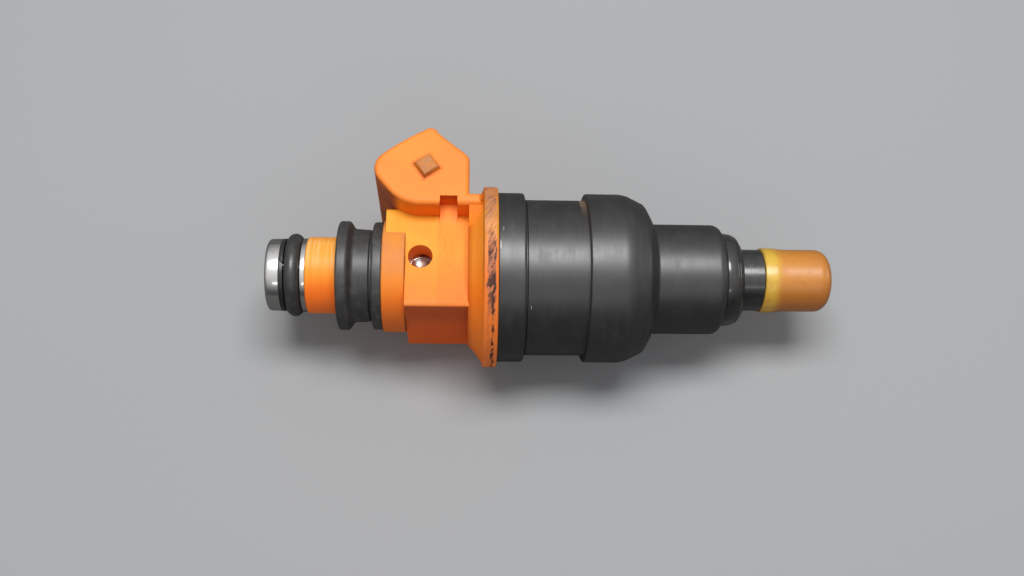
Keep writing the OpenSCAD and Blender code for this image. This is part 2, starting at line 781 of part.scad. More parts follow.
module coil_seal_lower() {
    color([0.1, 0.1, 0.1])
        cord_ring(x_case_floor - coil_seal_d / 2, hub_r + coil_seal_d / 2 + seal_play, coil_seal_d - seal_play);
}

module solenoid_case() {
    collar_r = case_r + case_collar_rise;
    collar_edge = 0.45;
    nose_edge = 0.3;
    gap = 0.12;                 // fine groove under the collar
    color([0.16, 0.16, 0.17]) turned([
        [case_bore_r, x_case_top], [collar_r, x_case_top], [collar_r, x_barrel - collar_edge],
        [collar_r - collar_edge, x_barrel], [case_r - gap, x_barrel], [case_r - gap, x_barrel + gap],
        [case_r, x_barrel + 2 * gap], [case_r, x_case_step], [case_nose_r, x_case_step],
        [case_nose_r, x_nose_end - nose_edge], [case_nose_r - nose_edge, x_nose_end], [crimp_r, x_nose_end],
        [crimp_r, x_head_end], [nose_bore_r, x_head_end], [nose_bore_r, x_case_step],
        [pole_r, x_case_step], [pole_r, x_case_floor], [case_bore_r, x_case_floor]
    ]);
}

module armature() {
    edge = 0.3;
    ports = 4;
    port_r = 0.6;
    port_at = 0.9;              // distance of the ports from the spring's seat
    color("gainsboro") difference() {
        turned([
            [spring_pocket_r, x_armature], [armature_r - edge, x_armature], [armature_r, x_armature + edge],
            [armature_r, x_armature_end - edge], [armature_r - edge, x_armature_end],
            [tail_r, x_armature_end], [tail_r, x_spring_end], [spring_pocket_r, x_spring_end]
        ]);
        for (i = [0:ports - 1])
            rotate([45 + i * 360 / ports, 0, 0])
                translate([x_spring_end + port_at, 0, 0])
                    cylinder(h = armature_r + over, r = port_r, $fn = small_fn);
    }
}

module needle() {
    land_r = guide_r - guide_gap;
    land_len = 2.4;
    land_flat = land_r * 0.86;  // half distance between a land's flats
    land_1_gap = 0.8;
    land_2_gap = 1.6;
    head_drop = 0.3;            // how much smaller the needle's head is than its guide
    head_len = 0.4;
    neck_len = 0.4;
    pin_gap = 0.2;
    pin_flare = 0.25;
    pin_waist_len = 0.5;
    pin_len = 1.2;
    head_r = guide_r - head_drop;
    pin_r = orifice_r - pin_gap;
    x_collar = x_plate_end + needle_lift + seat_gap;
    x_collar_end = x_collar + needle_collar_len;
    x_edge = seat_x(head_r) - seat_gap;
    x_pin_end = x_shank_end + pin_len;
    color("silver") {
        rod(x_armature_end - tail_len, x_armature_end, tail_r);
        turned([
            [0, x_armature_end], [needle_r, x_armature_end], [needle_r, x_collar],
            [needle_collar_r, x_collar], [needle_collar_r, x_collar_end], [needle_r, x_collar_end],
            [needle_r, x_edge - head_len - neck_len], [head_r, x_edge - head_len], [head_r, x_edge],
            [pin_r, x_seat_end], [pin_r, x_shank_end + pin_waist_len], [pin_r + pin_flare, x_pin_end], [0, x_pin_end]
        ]);
        for (x = [x_guide + land_1_gap, x_seat_cone - land_2_gap - land_len])
            intersection() {
                rod(x, x + land_len, land_r);
                translate([x + land_len / 2, 0, 0])
                    cube([land_len + over, 2 * land_flat, 2 * land_flat], center = true);
            }
    }
}

module stop_plate() {
    slot_gap = 0.5;             // room between the needle and the plate's slot
    hole_r = needle_r + slot_gap;
    color("grey") difference() {
        ring(x_case_step, x_plate_end, nose_bore_r - plate_fit, hole_r);
        translate([x_case_step - over, -hole_r, -nose_bore_r - over])
            cube([stop_plate_t + 2 * over, 2 * hole_r, nose_bore_r + over]);
    }
}

module valve_body() {
    snap_depth = 0.25;          // groove that the cap snaps into
    snap_at = 1.75;
    snap_len = 1.15;
    snap_slope = 0.2;
    edge = 0.4;
    x_groove = x_plate_end + head_groove_at;
    x_snap = x_cap + snap_at;
    snap_r = shank_r - snap_depth;
    color("grey") turned([
        [counterbore_r, x_plate_end], [nose_bore_r, x_plate_end], [nose_bore_r, x_groove],
        [head_groove_r, x_groove], [head_groove_r, x_groove + head_groove_len],
        [nose_bore_r, x_groove + head_groove_len], [nose_bore_r, x_head_end], [shank_r, x_head_end],
        [shank_r, x_snap], [snap_r, x_snap + snap_slope], [snap_r, x_snap + snap_len - snap_slope],
        [shank_r, x_snap + snap_len], [shank_r, x_shank_end - edge], [shank_r - edge, x_shank_end],
        [orifice_r, x_shank_end], [orifice_r, x_seat_end], [guide_r, x_seat_cone], [guide_r, x_guide],
        [counterbore_r, x_guide]
    ]);
}

module valve_body_seal() {
    x = x_plate_end + head_groove_at + head_groove_len / 2;
    color([0.1, 0.1, 0.1])
        cord_ring(x, head_groove_r + head_seal_d / 2 + head_seal_play, head_seal_d);
}

module cup_sleeve() {
    lip_edge = 0.3;
    turn_drop = 0.15;           // how far the cup's side falls where it turns into the taper
    turn_len = 0.55;
    taper_foot = 1.7;           // length of the steep part next to the seat
    foot_hollow = 0.45;
    x_turn = x_cup_lip + cup_len - cup_taper_len;
    color([0.14, 0.14, 0.15]) turned(concat(
        [
            [case_r, x_cup_lip], [cup_r - lip_edge, x_cup_lip], [cup_r, x_cup_lip + lip_edge],
            [cup_r, x_turn], [cup_r - turn_drop, x_turn + turn_len]
        ],
        bulge([cup_taper_r, -taper_foot], [spigot_r, 0], -foot_hollow),
        arc([spigot_r - spigot_nose_r, x_spigot_end - spigot_nose_r], spigot_nose_r, 0, 90),
        [
            [shank_r, x_spigot_end], [shank_r, x_nose_end], [case_nose_r, x_nose_end],
            [case_nose_r, x_case_step], [case_r, x_case_step]
        ]
    ));
}

module nozzle_seal() {
    lip_rise = 0.5;             // height of the seal's thin end over the spacer
    band = 1;                   // length of the seal's straight part
    face_slope = 0.02;
    round_fall = 0.38;          // fullness of the seal's rounded side
    color([0.05, 0.05, 0.05]) turned(concat(
        [[spacer_r, x_spigot_end], [seal_r, x_spigot_end + face_slope]],
        bulge([seal_r, x_spigot_end + band], [spacer_r + lip_rise, x_seal_end], -round_fall),
        [[spacer_r, x_seal_end]]
    ));
}

module spacer_sleeve() {
    color([0.05, 0.05, 0.05]) ring(x_spigot_end, x_cap, spacer_r, shank_r);
}

module pintle_cap() {
    lip_r = cap_r + cap_lip_rise;
    end_r = cap_r - cap_nose_r;
    edge = 0.2;
    lip_flat = 1.65;            // length of the lip before it slopes into the body
    dome = 0.4;                 // height of the cap's slightly domed end
    dome_turn = 70;             // how far the end's rounding turns, in degrees
    chamber_r = 2.8;
    mouth_edge = 0.3;
    mouth_len = 1.3;
    mouth_cone = 0.6;
    x_cone = x_cap_end - mouth_len;
    color([0.85, 0.5, 0.15]) turned(concat(
        [
            [shank_r, x_cap], [lip_r - edge, x_cap], [lip_r, x_cap + edge],
            [lip_r, x_cap + lip_flat], [cap_r, x_cap + cap_lip_len]
        ],
        arc([end_r, x_cap_end - dome - cap_nose_r], cap_nose_r, 0, dome_turn),
        [
            [mouth_r + mouth_edge, x_cap_end], [mouth_r, x_cap_end - mouth_edge], [mouth_r, x_cone],
            [chamber_r, x_cone - mouth_cone], [chamber_r, x_shank_end], [shank_r, x_shank_end]
        ]
    ));
}

inlet_tube();
filter_ring();
filter_cage();
filter_screen();
rail_o_ring();
backup_ring();
adjusting_tube();
return_spring();
connector_housing();
terminal_left();
terminal_right();
rail_grommet();
coil_bobbin();
coil_winding();
coil_seal_upper();
coil_seal_lower();
solenoid_case();
armature();
needle();
stop_plate();
valve_body();
valve_body_seal();
cup_sleeve();
nozzle_seal();
spacer_sleeve();
pintle_cap();
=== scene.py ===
"""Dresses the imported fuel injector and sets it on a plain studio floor.

The injector lies along X: the rail end points to -X and the spray cap to +X.
The connector leans out along +Y, and the block's flat face looks up, along +Z.
Each class below builds one sub-assembly over its CAD nodes and gives it its finish.
All sizes in the classes are in millimetres, and the meshes are in metres.
"""

import json
import logging
import math
from collections.abc import Callable, Iterator
from contextlib import contextmanager
from dataclasses import dataclass
from enum import Enum

import bmesh
import bpy
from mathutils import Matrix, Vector


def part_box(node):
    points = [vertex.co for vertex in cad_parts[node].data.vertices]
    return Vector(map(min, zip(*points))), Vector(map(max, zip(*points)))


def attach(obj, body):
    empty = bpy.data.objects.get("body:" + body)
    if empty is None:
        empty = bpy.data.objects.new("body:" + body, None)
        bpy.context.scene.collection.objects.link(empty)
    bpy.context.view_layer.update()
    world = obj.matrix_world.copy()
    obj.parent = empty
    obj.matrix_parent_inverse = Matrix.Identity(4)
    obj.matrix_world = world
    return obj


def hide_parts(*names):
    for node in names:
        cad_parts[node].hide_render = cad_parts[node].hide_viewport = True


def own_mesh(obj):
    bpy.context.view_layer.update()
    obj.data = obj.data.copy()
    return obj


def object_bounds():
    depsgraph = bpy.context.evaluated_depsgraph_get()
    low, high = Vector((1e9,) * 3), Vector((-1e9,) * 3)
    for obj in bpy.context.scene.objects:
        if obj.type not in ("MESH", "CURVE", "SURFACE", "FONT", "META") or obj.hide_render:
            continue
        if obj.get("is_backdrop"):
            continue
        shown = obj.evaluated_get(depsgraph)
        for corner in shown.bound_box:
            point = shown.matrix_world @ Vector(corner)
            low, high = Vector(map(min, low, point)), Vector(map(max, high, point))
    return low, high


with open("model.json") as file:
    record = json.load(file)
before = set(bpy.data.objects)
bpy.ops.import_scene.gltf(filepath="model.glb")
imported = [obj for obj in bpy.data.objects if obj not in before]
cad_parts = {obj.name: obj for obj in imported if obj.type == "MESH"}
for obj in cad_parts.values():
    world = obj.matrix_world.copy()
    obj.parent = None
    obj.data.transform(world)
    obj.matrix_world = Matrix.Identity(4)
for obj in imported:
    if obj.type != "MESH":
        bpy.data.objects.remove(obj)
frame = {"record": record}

log = logging.getLogger("injector")

# One millimetre, in metres.
MM = 0.001
# How close two places are that count as one, in metres.
NEAR = 2e-6
# How many sides a turned piece has.
SIDES = 128
# How far a tool reaches past what it cuts or joins, in millimetres.
PAST = 1.0
# The body that every new piece rides on: the moving pieces keep their CAD shapes.
INJECTOR = "injector"
# How far the sleeve and the tube's shoulder lie ahead of the grommet, in millimetres.
SLEEVE_AHEAD = 4.15

Colour = tuple[float, float, float]
Rule = Callable[[Vector, Vector], bool]

# Where the black coating is chipped: X, Y and Z of each chip and its length, in millimetres.
CASE_CHIPS = (
    (-20.52, 2.0, 11.17, 0.34),
    (-20.88, -0.35, 11.37, 0.62),
    (-16.92, -7.25, 7.5, 0.30),
)
CUP_CHIPS = (
    (-4.55, 9.2, 6.2, 0.32),
    (-6.6, -10.6, 3.6, 0.18),
    (-4.9, 3.2, 10.6, 0.26),
)


# --------------------------------------------------------------------------
# Shader maths
# --------------------------------------------------------------------------


class Signal:
    """A number that varies over a surface, with Python's operators for its maths."""

    def __init__(self, graph: "Graph", socket: bpy.types.NodeSocket) -> None:
        """Wraps an output of the graph's node tree."""
        self.graph = graph
        self.socket = socket

    def __add__(self, other: "Signal | float") -> "Signal":
        """Adds a number or a signal."""
        return self.graph.maths("ADD", self, other)

    __radd__ = __add__

    def __mul__(self, other: "Signal | float") -> "Signal":
        """Multiplies by a number or a signal."""
        return self.graph.maths("MULTIPLY", self, other)

    __rmul__ = __mul__

    def __sub__(self, other: "Signal | float") -> "Signal":
        """Takes a number or a signal away."""
        return self.graph.maths("SUBTRACT", self, other)

    def __rsub__(self, other: float) -> "Signal":
        """Takes this signal away from a number."""
        return self.graph.maths("SUBTRACT", other, self)

    def __truediv__(self, other: "Signal | float") -> "Signal":
        """Divides by a number or a signal."""
        return self.graph.maths("DIVIDE", self, other)

    def __pow__(self, other: float) -> "Signal":
        """Raises this signal to a power."""
        return self.graph.maths("POWER", self, other)

    def __abs__(self) -> "Signal":
        """Drops the sign."""
        return self.graph.maths("ABSOLUTE", self, 0.0)

    def step(self, low: float, high: float) -> "Signal":
        """Runs smoothly from 0 at low to 1 at high.

        Args:
            low: The value at which the result is 0.
            high: The value at which the result is 1, which may be under low.

        Returns:
            The smooth step, from 0 to 1.
        """
        settings = {"interpolation_type": "SMOOTHSTEP", "clamp": True}
        if low <= high:
            inputs = {"Value": self, "From Min": low, "From Max": high, "To Min": 0.0, "To Max": 1.0}
        else:
            inputs = {"Value": self, "From Min": high, "From Max": low, "To Min": 1.0, "To Max": 0.0}
        return self.graph.signal("ShaderNodeMapRange", settings, inputs)

    def band(self, middle: float, half_width: float, soft: float) -> "Signal":
        """Marks the stretch around a middle value.

        Args:
            middle: The middle of the stretch.
            half_width: Half its width.
            soft: How far its edges fade.

        Returns:
            1 inside the stretch and 0 outside it.
        """
        return abs(self - middle).step(half_width + soft, half_width)

    def clamp(self) -> "Signal":
        """Keeps the signal from 0 to 1."""
        return self.graph.signal("ShaderNodeClamp", {}, {"Value": self})


class Graph:
    """The node tree of one finish."""

    # Where the Mix node keeps its two colours and the mixed one, among sockets of the same names.
    FIRST_COLOUR = 6
    SECOND_COLOUR = 7
    MIXED_COLOUR = 2

    def __init__(self, name: str) -> None:
        """Starts a material with an empty node tree.

        Args:
            name: The name of the material.
        """
        self.material = bpy.data.materials.new(name)
        self.material.use_nodes = True
        self.tree = self.material.node_tree
        self.tree.nodes.clear()
        self.output = self.tree.nodes.new("ShaderNodeOutputMaterial")
        coordinates = self.node("ShaderNodeTexCoord", {}, {})
        self.place = Signal(self, coordinates.outputs["Object"])
        parts = self.node("ShaderNodeSeparateXYZ", {}, {0: self.place})
        self.x = Signal(self, parts.outputs["X"]) / MM
        self.y = Signal(self, parts.outputs["Y"]) / MM
        self.z = Signal(self, parts.outputs["Z"]) / MM

    def node(self, kind: str, settings: dict[str, object], inputs: dict[int | str, object]) -> bpy.types.Node:
        """Adds a node.

        Args:
            kind: The node's type.
            settings: Its settings, which are set first.
            inputs: Numbers, colours or signals for its sockets, by name or by place.

        Returns:
            The new node.
        """
        made = self.tree.nodes.new(kind)
        for key, value in settings.items():
            setattr(made, key, value)
        for key, value in inputs.items():
            if isinstance(value, Signal):
                self.tree.links.new(value.socket, made.inputs[key])
            else:
                made.inputs[key].default_value = value
        return made

    def signal(self, kind: str, settings: dict[str, object], inputs: dict[int | str, object]) -> Signal:
        """Adds a node and returns its first output."""
        return Signal(self, self.node(kind, settings, inputs).outputs[0])

    def maths(self, operation: str, first: "Signal | float", second: "Signal | float") -> Signal:
        """Adds a Math node."""
        return self.signal("ShaderNodeMath", {"operation": operation}, {0: first, 1: second})

    def stretched(self, per_mm: tuple[float, float, float], shift: float = 0.0) -> Signal:
        """The place on the injector, scaled along each axis.

        Args:
            per_mm: How many units of the pattern there are to a millimetre, along X, Y and Z.
            shift: Moves the pattern, so that two patterns differ.

        Returns:
            The vector signal.
        """
        scale = tuple(s / MM for s in per_mm)
        inputs = {"Vector": self.place, "Scale": scale, "Location": (shift, 1.7 * shift, 2.3 * shift)}
        return self.signal("ShaderNodeMapping", {}, inputs)

    def noise(self, per_mm: tuple[float, float, float], detail: float = 3.0, shift: float = 0.0,
              rough: float = 0.5) -> Signal:
        """A noise pattern around 0.5.

        Args:
            per_mm: How fine it is along X, Y and Z.
            detail: How many layers of finer noise it has.
            shift: Moves the pattern.
            rough: How strong the finer layers are.

        Returns:
            The pattern.
        """
        return self._noise_over(self.stretched(per_mm, shift), detail, rough)

    def pattern(self, first: Signal, second: Signal, third: Signal, detail: float = 3.0,
                rough: float = 0.5) -> Signal:
        """A noise pattern over three signals of the maker's choice.

        Args:
            first: Runs across the pattern.
            second: Runs along it.
            third: Runs through it.
            detail: How many layers of finer noise it has.
            rough: How strong the finer layers are.

        Returns:
            The pattern.
        """
        vector = self.signal("ShaderNodeCombineXYZ", {}, {0: first, 1: second, 2: third})
        return self._noise_over(vector, detail, rough)

    def _noise_over(self, vector: Signal, detail: float, rough: float) -> Signal:
        """Adds the noise node over a vector."""
        inputs = {"Vector": vector, "Scale": 1.0, "Detail": detail, "Roughness": rough}
        return self.signal("ShaderNodeTexNoise", {}, inputs)

    def spot(self, place: tuple[float, float, float], size: tuple[float, float, float]) -> Signal:
        """Marks one small spot with a ragged edge.

        Args:
            place: Its middle, in millimetres.
            size: Its half sizes along X, Y and Z, in millimetres.

        Returns:
            1 in the spot and 0 away from it.
        """
        ragged = self.noise((5.0, 5.0, 5.0), 3.0, 1.3 * place[0])
        away = sum(((c - p) / h) ** 2.0 for c, p, h in zip((self.x, self.y, self.z), place, size))
        return (away + (ragged - 0.5) * 1.2).step(1.1, 0.7)

    def blend(self, factor: Signal, first: "Signal | Colour", second: "Signal | Colour") -> Signal:
        """Mixes two colours.

        Args:
            factor: 0 for the first colour and 1 for the second.
            first: The first colour.
            second: The second colour.

        Returns:
            The mixed colour.
        """
        colours = [c if isinstance(c, Signal) else (*c, 1.0) for c in (first, second)]
        inputs = {"Factor": factor, self.FIRST_COLOUR: colours[0], self.SECOND_COLOUR: colours[1]}
        made = self.node("ShaderNodeMix", {"data_type": "RGBA"}, inputs)
        return Signal(self, made.outputs[self.MIXED_COLOUR])

    def bump(self, height: Signal, depth: float, strength: float = 1.0) -> Signal:
        """Raises the surface.

        Args:
            height: The height, from 0 to 1.
            depth: What a height of 1 stands for, in millimetres.
            strength: How much of it shows.

        Returns:
            The normal.
        """
        inputs = {"Height": height, "Distance": depth * MM, "Strength": strength}
        return self.signal("ShaderNodeBump", {}, inputs)

    def surface(self, varying: dict[str, Signal], fixed: dict[str, object]) -> bpy.types.Material:
        """Ends the tree with the shader.

        Args:
            varying: What changes over the surface, by socket.
            fixed: What is the same all over, by socket.

        Returns:
            The finished material.
        """
        shader = self.node("ShaderNodeBsdfPrincipled", {}, {**fixed, **varying})
        self.tree.links.new(shader.outputs[0], self.output.inputs["Surface"])
        return self.material


# --------------------------------------------------------------------------
# Finishes
# --------------------------------------------------------------------------


@dataclass(frozen=True)
class OrangeNylon:
    """Moulded orange nylon with a fine grain and faint clouds, and a painted shade that deepens it towards -Y
    and below the axis.
    """

    name: str = "orange_nylon"
    colour: Colour = (0.90, 0.320, 0.013)
    pale: Colour = (0.93, 0.385, 0.020)
    deep: Colour = (0.98, 0.165, 0.007)
    highlight_pink: Colour = (0.78, 0.285, 0.085)
    grime: Colour = (0.20, 0.075, 0.035)
    soot: Colour = (0.020, 0.012, 0.012)

    def make(self) -> bpy.types.Material:
        """Builds the material.

        Returns:
            The material.
        """
        g = Graph(self.name)
        wide = g.noise((0.16, 0.16, 0.16), 3.0, 3.1)
        patch = g.noise((0.5, 0.5, 0.5), 5.0, 9.4, 0.6)
        grain = g.noise((7.0, 7.0, 7.0), 3.0, 1.7)
        colour = g.blend(wide.step(0.42, 0.66), self.colour, self.pale)
        colour = g.blend(patch.step(0.46, 0.26) * 0.22, colour, self.deep)
        # Painted shade: the colour deepens towards -Y and towards low Z, the sides that face away from the
        # lamps.
        colour = g.blend(g.y.step(1.5, -7.5) * 0.75, colour, self.deep)
        colour = g.blend(g.z.step(1.0, -4.0) * 0.50, colour, self.deep)
        stain = g.noise((1.3, 1.3, 1.3), 6.0, 5.2, 0.7).step(0.64, 0.78)
        colour = g.blend(stain * 0.20, colour, self.grime)
        height = grain * 0.6 + g.noise((1.6, 1.6, 1.6), 2.0, 4.0) * 0.4
        rough = 0.42 + 0.14 * patch + 0.12 * stain
        colour, rough = self.wear(g, colour, rough)
        return g.surface(
            {"Base Color": colour, "Roughness": rough, "Normal": g.bump(height, 0.02, 0.6)},
            {"IOR": 1.5, "Specular IOR Level": 0.28, "Metallic": 0.0},
        )

    def wear(self, g: Graph, colour: Signal, rough: Signal) -> tuple[Signal, Signal]:
        """Adds the marks of one region, of which the plain moulding has none.

        Args:
            g: The graph.
            colour: The clean colour.
            rough: The clean roughness.

        Returns:
            The colour and the roughness with the marks.
        """
        return colour, rough


@dataclass(frozen=True)
class SleeveNylon(OrangeNylon):
    """The sleeve, with fine lines round it, a painted highlight band along its top and painted shade below,
    and the disc, salmon towards +Y, with painted shade below.
    """

    name: str = "sleeve_nylon"
    streak_and_highlight_tone: Colour = (0.95, 0.53, 0.19)
    under: Colour = (0.98, 0.125, 0.004)
    salmon: Colour = (0.68, 0.235, 0.070)
    disc_shade_under: Colour = (0.56, 0.10, 0.007)
    disc_start: float = 0.0
    disc_end: float = 0.0

    def wear(self, g: Graph, colour: Signal, rough: Signal) -> tuple[Signal, Signal]:
        """Adds the lines and the painted highlight band on the sleeve, the painted shade below, and the
        salmon of the disc.

        Args:
            g: The graph.
            colour: The clean colour.
            rough: The clean roughness.

        Returns:
            The colour and the roughness with the marks.
        """
        lines = g.noise((3.4, 0.10, 0.10), 3.0, 5.0, 0.6)
        on_disc = g.x.step(self.disc_start - 0.2, self.disc_start)
        # Painted highlight: a pale band along the sleeve's top, where the key lamp's highlight falls, laid
        # over the sleeve's own fine pale lines.
        highlight_band = g.y.band(1.6, 1.3, 1.6)
        pale_lines_and_highlight = (0.30 + 0.7 * lines.step(0.40, 0.66)) * (0.10 + 0.70 * highlight_band)
        colour = g.blend(pale_lines_and_highlight * (1 - on_disc), colour, self.streak_and_highlight_tone)
        colour = g.blend(lines.step(0.46, 0.30) * 0.25 * (1 - on_disc), colour, self.deep)
        # Painted shade: the sleeve turns a deeper orange-red towards -Y.
        colour = g.blend(g.y.step(-1.5, -4.0) * 0.6 * (1 - on_disc), colour, self.under)
        cloud = g.noise((0.8, 0.5, 0.5), 5.0, 2.2, 0.6).step(0.30, 0.62)
        up = g.y.step(-6.0, 0.0)
        colour = g.blend(on_disc * (0.10 + 0.85 * up) * (0.60 + 0.40 * cloud), colour, self.salmon)
        # Painted shade: the disc darkens towards -Y.
        colour = g.blend(on_disc * g.y.step(-3.5, -8.0) * 0.75, colour, self.disc_shade_under)
        seam = g.x.band(self.disc_end, 0.05, 0.14)
        colour = g.blend(seam * 0.6, colour, self.grime)
        return colour, rough + 0.10 * on_disc


@dataclass(frozen=True)
class BlockNylon(OrangeNylon):
    """The block, with a pink painted highlight along its rounded edge, and painted shade on its side, on the
    ramp and in the staking hole.
    """

    name: str = "block_nylon"
    side_shade_low: Colour = (0.66, 0.090, 0.008)
    side_shade_high: Colour = (0.46, 0.062, 0.007)
    hole_shade_tone: Colour = (0.95, 0.22, 0.010)
    half_width: float = 0.0
    top: float = 0.0
    stake_x: float = 0.0
    stake_r: float = 0.0

    def wear(self, g: Graph, colour: Signal, rough: Signal) -> tuple[Signal, Signal]:
        """Adds the painted highlight on the edge, which is also made rougher, a few scratches and the painted
        shade.

        Args:
            g: The graph.
            colour: The clean colour.
            rough: The clean roughness.

        Returns:
            The colour and the roughness with the marks.
        """
        fuzz = g.noise((1.4, 2.6, 1.4), 5.0, 6.1, 0.7)
        # Painted highlight: a pink band along the rounded top edge on the -Y side, which is also made
        # rougher.
        edge = g.y.band(0.25 - self.half_width, 0.22, 0.55) * g.z.step(self.top - 0.7, self.top - 0.2)
        colour = g.blend(edge * (0.25 + 0.5 * fuzz), colour, self.highlight_pink)
        scratch = g.noise((7.0, 0.7, 0.7), 3.0, 8.8, 0.5).step(0.64, 0.70)
        near_edge = g.y.step(1.8 - self.half_width, 0.6 - self.half_width)
        colour = g.blend(scratch * near_edge * 0.55, colour, self.grime)
        tone = g.x.step(self.stake_x + 2.0, self.stake_x + 2.4) * g.z.step(self.top - 0.2, self.top)
        fibre = g.noise((2.2, 0.9, 1.0), 4.0, 12.0, 0.6).step(0.50, 0.66)
        colour = g.blend(tone * (0.22 + 0.22 * fibre), colour, self.deep)
        # Painted shade: the -Y side face is painted dark red-brown, mottled by noise and darkest towards its
        # top edge.
        side = g.y.step(0.12 - self.half_width, -self.half_width)
        shade_mottle = g.noise((0.35, 0.35, 0.35), 3.0, 3.9, 0.5)
        below = g.blend(g.z.step(-2.0, 4.5), self.side_shade_low, self.side_shade_high)
        colour = g.blend(side * (0.72 + 0.25 * shade_mottle), colour, below)
        # Painted shade: the ramp under the socket's notch is deepened.
        ramp_shade = g.z.step(self.top + 0.05, self.top + 0.9)
        colour = g.blend(ramp_shade * 0.55, colour, self.deep)
        # Painted shade: the wall of the staking hole is painted a deeper orange.
        away = (g.x - self.stake_x) ** 2.0 + g.y ** 2.0
        in_hole = away.step((self.stake_r + 0.12) ** 2, self.stake_r ** 2)
        in_hole = in_hole * g.z.step(self.top, self.top - 0.3)
        colour = g.blend(in_hole * 0.9, colour, self.hole_shade_tone)
        return colour, rough + 0.12 * edge


@dataclass(frozen=True)
class FlangeNylon(OrangeNylon):
    """The flange, whose rim is rubbed grey above and hatched with black strokes below."""

    name: str = "flange_nylon"
    rim_upper: Colour = (0.42, 0.115, 0.035)
    rim_shade_lower: Colour = (0.92, 0.200, 0.030)
    rub_upper: Colour = (0.46, 0.205, 0.120)
    rub_lower: Colour = (0.84, 0.37, 0.16)
    hatch: Colour = (0.14, 0.055, 0.045)
    dust: Colour = (0.40, 0.15, 0.10)
    bell_tone: Colour = (0.88, 0.23, 0.045)
    root_tone: Colour = (0.60, 0.10, 0.006)
    back: float = 0.0
    rim_start: float = 0.0
    rim_end: float = 0.0
    rim_r: float = 0.0
    slant: float = 0.36

    def wear(self, g: Graph, colour: Signal, rough: Signal) -> tuple[Signal, Signal]:
        """Adds the rubbed column, the strokes, the dark line where the bell meets the rim, and the painted
        shade on the rim's lower half and at the bell's root.

        Args:
            g: The graph.
            colour: The clean colour.
            rough: The clean roughness.

        Returns:
            The colour and the roughness with the marks.
        """
        width = self.rim_end - self.rim_start
        middle = self.rim_start + 0.5 * width
        on_rim = g.x.step(self.rim_start - 0.02, self.rim_start + 0.12)
        around = g.maths("ARCTAN2", g.y, g.z) * self.rim_r
        across = g.x - around * self.slant
        fine = g.pattern(across * 3.6, around * 0.5, g.z * 0.05, 4.0, 0.62)
        coarse = g.pattern(across * 1.9, around * 0.62, g.z * 0.05, 5.0, 0.66)
        ragged = g.noise((1.2, 0.5, 0.5), 4.0, 7.7, 0.65)
        column = (g.x + (ragged - 0.5) * 0.6).band(middle - 0.06, 0.62, 0.24) * on_rim
        upper = g.y.step(-3.5, 0.0) * g.y.step(12.0, 10.0)
        lower = g.y.step(2.0, -0.5)
        worn = column * upper * (0.40 + 0.60 * ragged.step(0.36, 0.56))
        rubbed = g.blend(g.y.step(4.5, 1.5), self.rub_upper, self.rub_lower)
        colour = g.blend(on_rim * 0.45, colour, self.rim_upper)
        colour = g.blend(worn * 0.75, colour, rubbed)
        colour = g.blend(column * upper * fine.step(0.52, 0.60) * 0.50, colour, self.hatch)
        patchy = g.noise((0.4, 0.42, 0.42), 3.0, 15.0, 0.6).step(0.34, 0.50)
        marks = (g.x + (ragged - 0.5) * 0.8).band(middle + 0.05, 0.42, 0.20) * on_rim * lower
        # Painted shade: the rim's lower half, towards -Y, is painted a deeper orange-red.
        colour = g.blend(on_rim * g.y.step(2.0, -2.0) * 0.45, colour, self.rim_shade_lower)
        colour = g.blend(marks * g.y.step(-9.5, -7.0) * 0.60, colour, self.dust)
        blot = coarse.step(0.47, 0.53) * (0.25 + 0.75 * patchy)
        spine = (g.x + (ragged - 0.5) * 0.9).band(middle + 0.28, 0.10, 0.10) * g.y.step(-4.0, -6.0)
        dense = g.y.step(-9.0, -6.0) * 0.85 + 0.15
        black = (marks * blot * dense + spine * coarse.step(0.42, 0.50) * on_rim).clamp()
        colour = g.blend(marks * fine.step(0.50, 0.58) * 0.45 * dense, colour, self.grime)
        colour = g.blend(black * 0.92, colour, self.soot)
        # A thin dark line where the bell meets the rim, fading out towards -Y.
        joint = g.x.band(self.rim_start, 0.04, 0.12) * g.y.step(-8.0, -3.0)
        # Painted shade: the bell darkens next to the block, in the corner between them.
        root = g.x.step(self.back + 0.75, self.back)
        bell = g.x.step(self.rim_start, self.rim_start - 0.3) * g.y.step(-8.0, 0.0)
        colour = g.blend(bell * 0.40, colour, self.bell_tone)
        colour = g.blend(joint * 0.45, colour, self.grime)
        colour = g.blend(root * 0.65, colour, self.root_tone)
        return colour, rough + 0.22 * worn + 0.15 * black


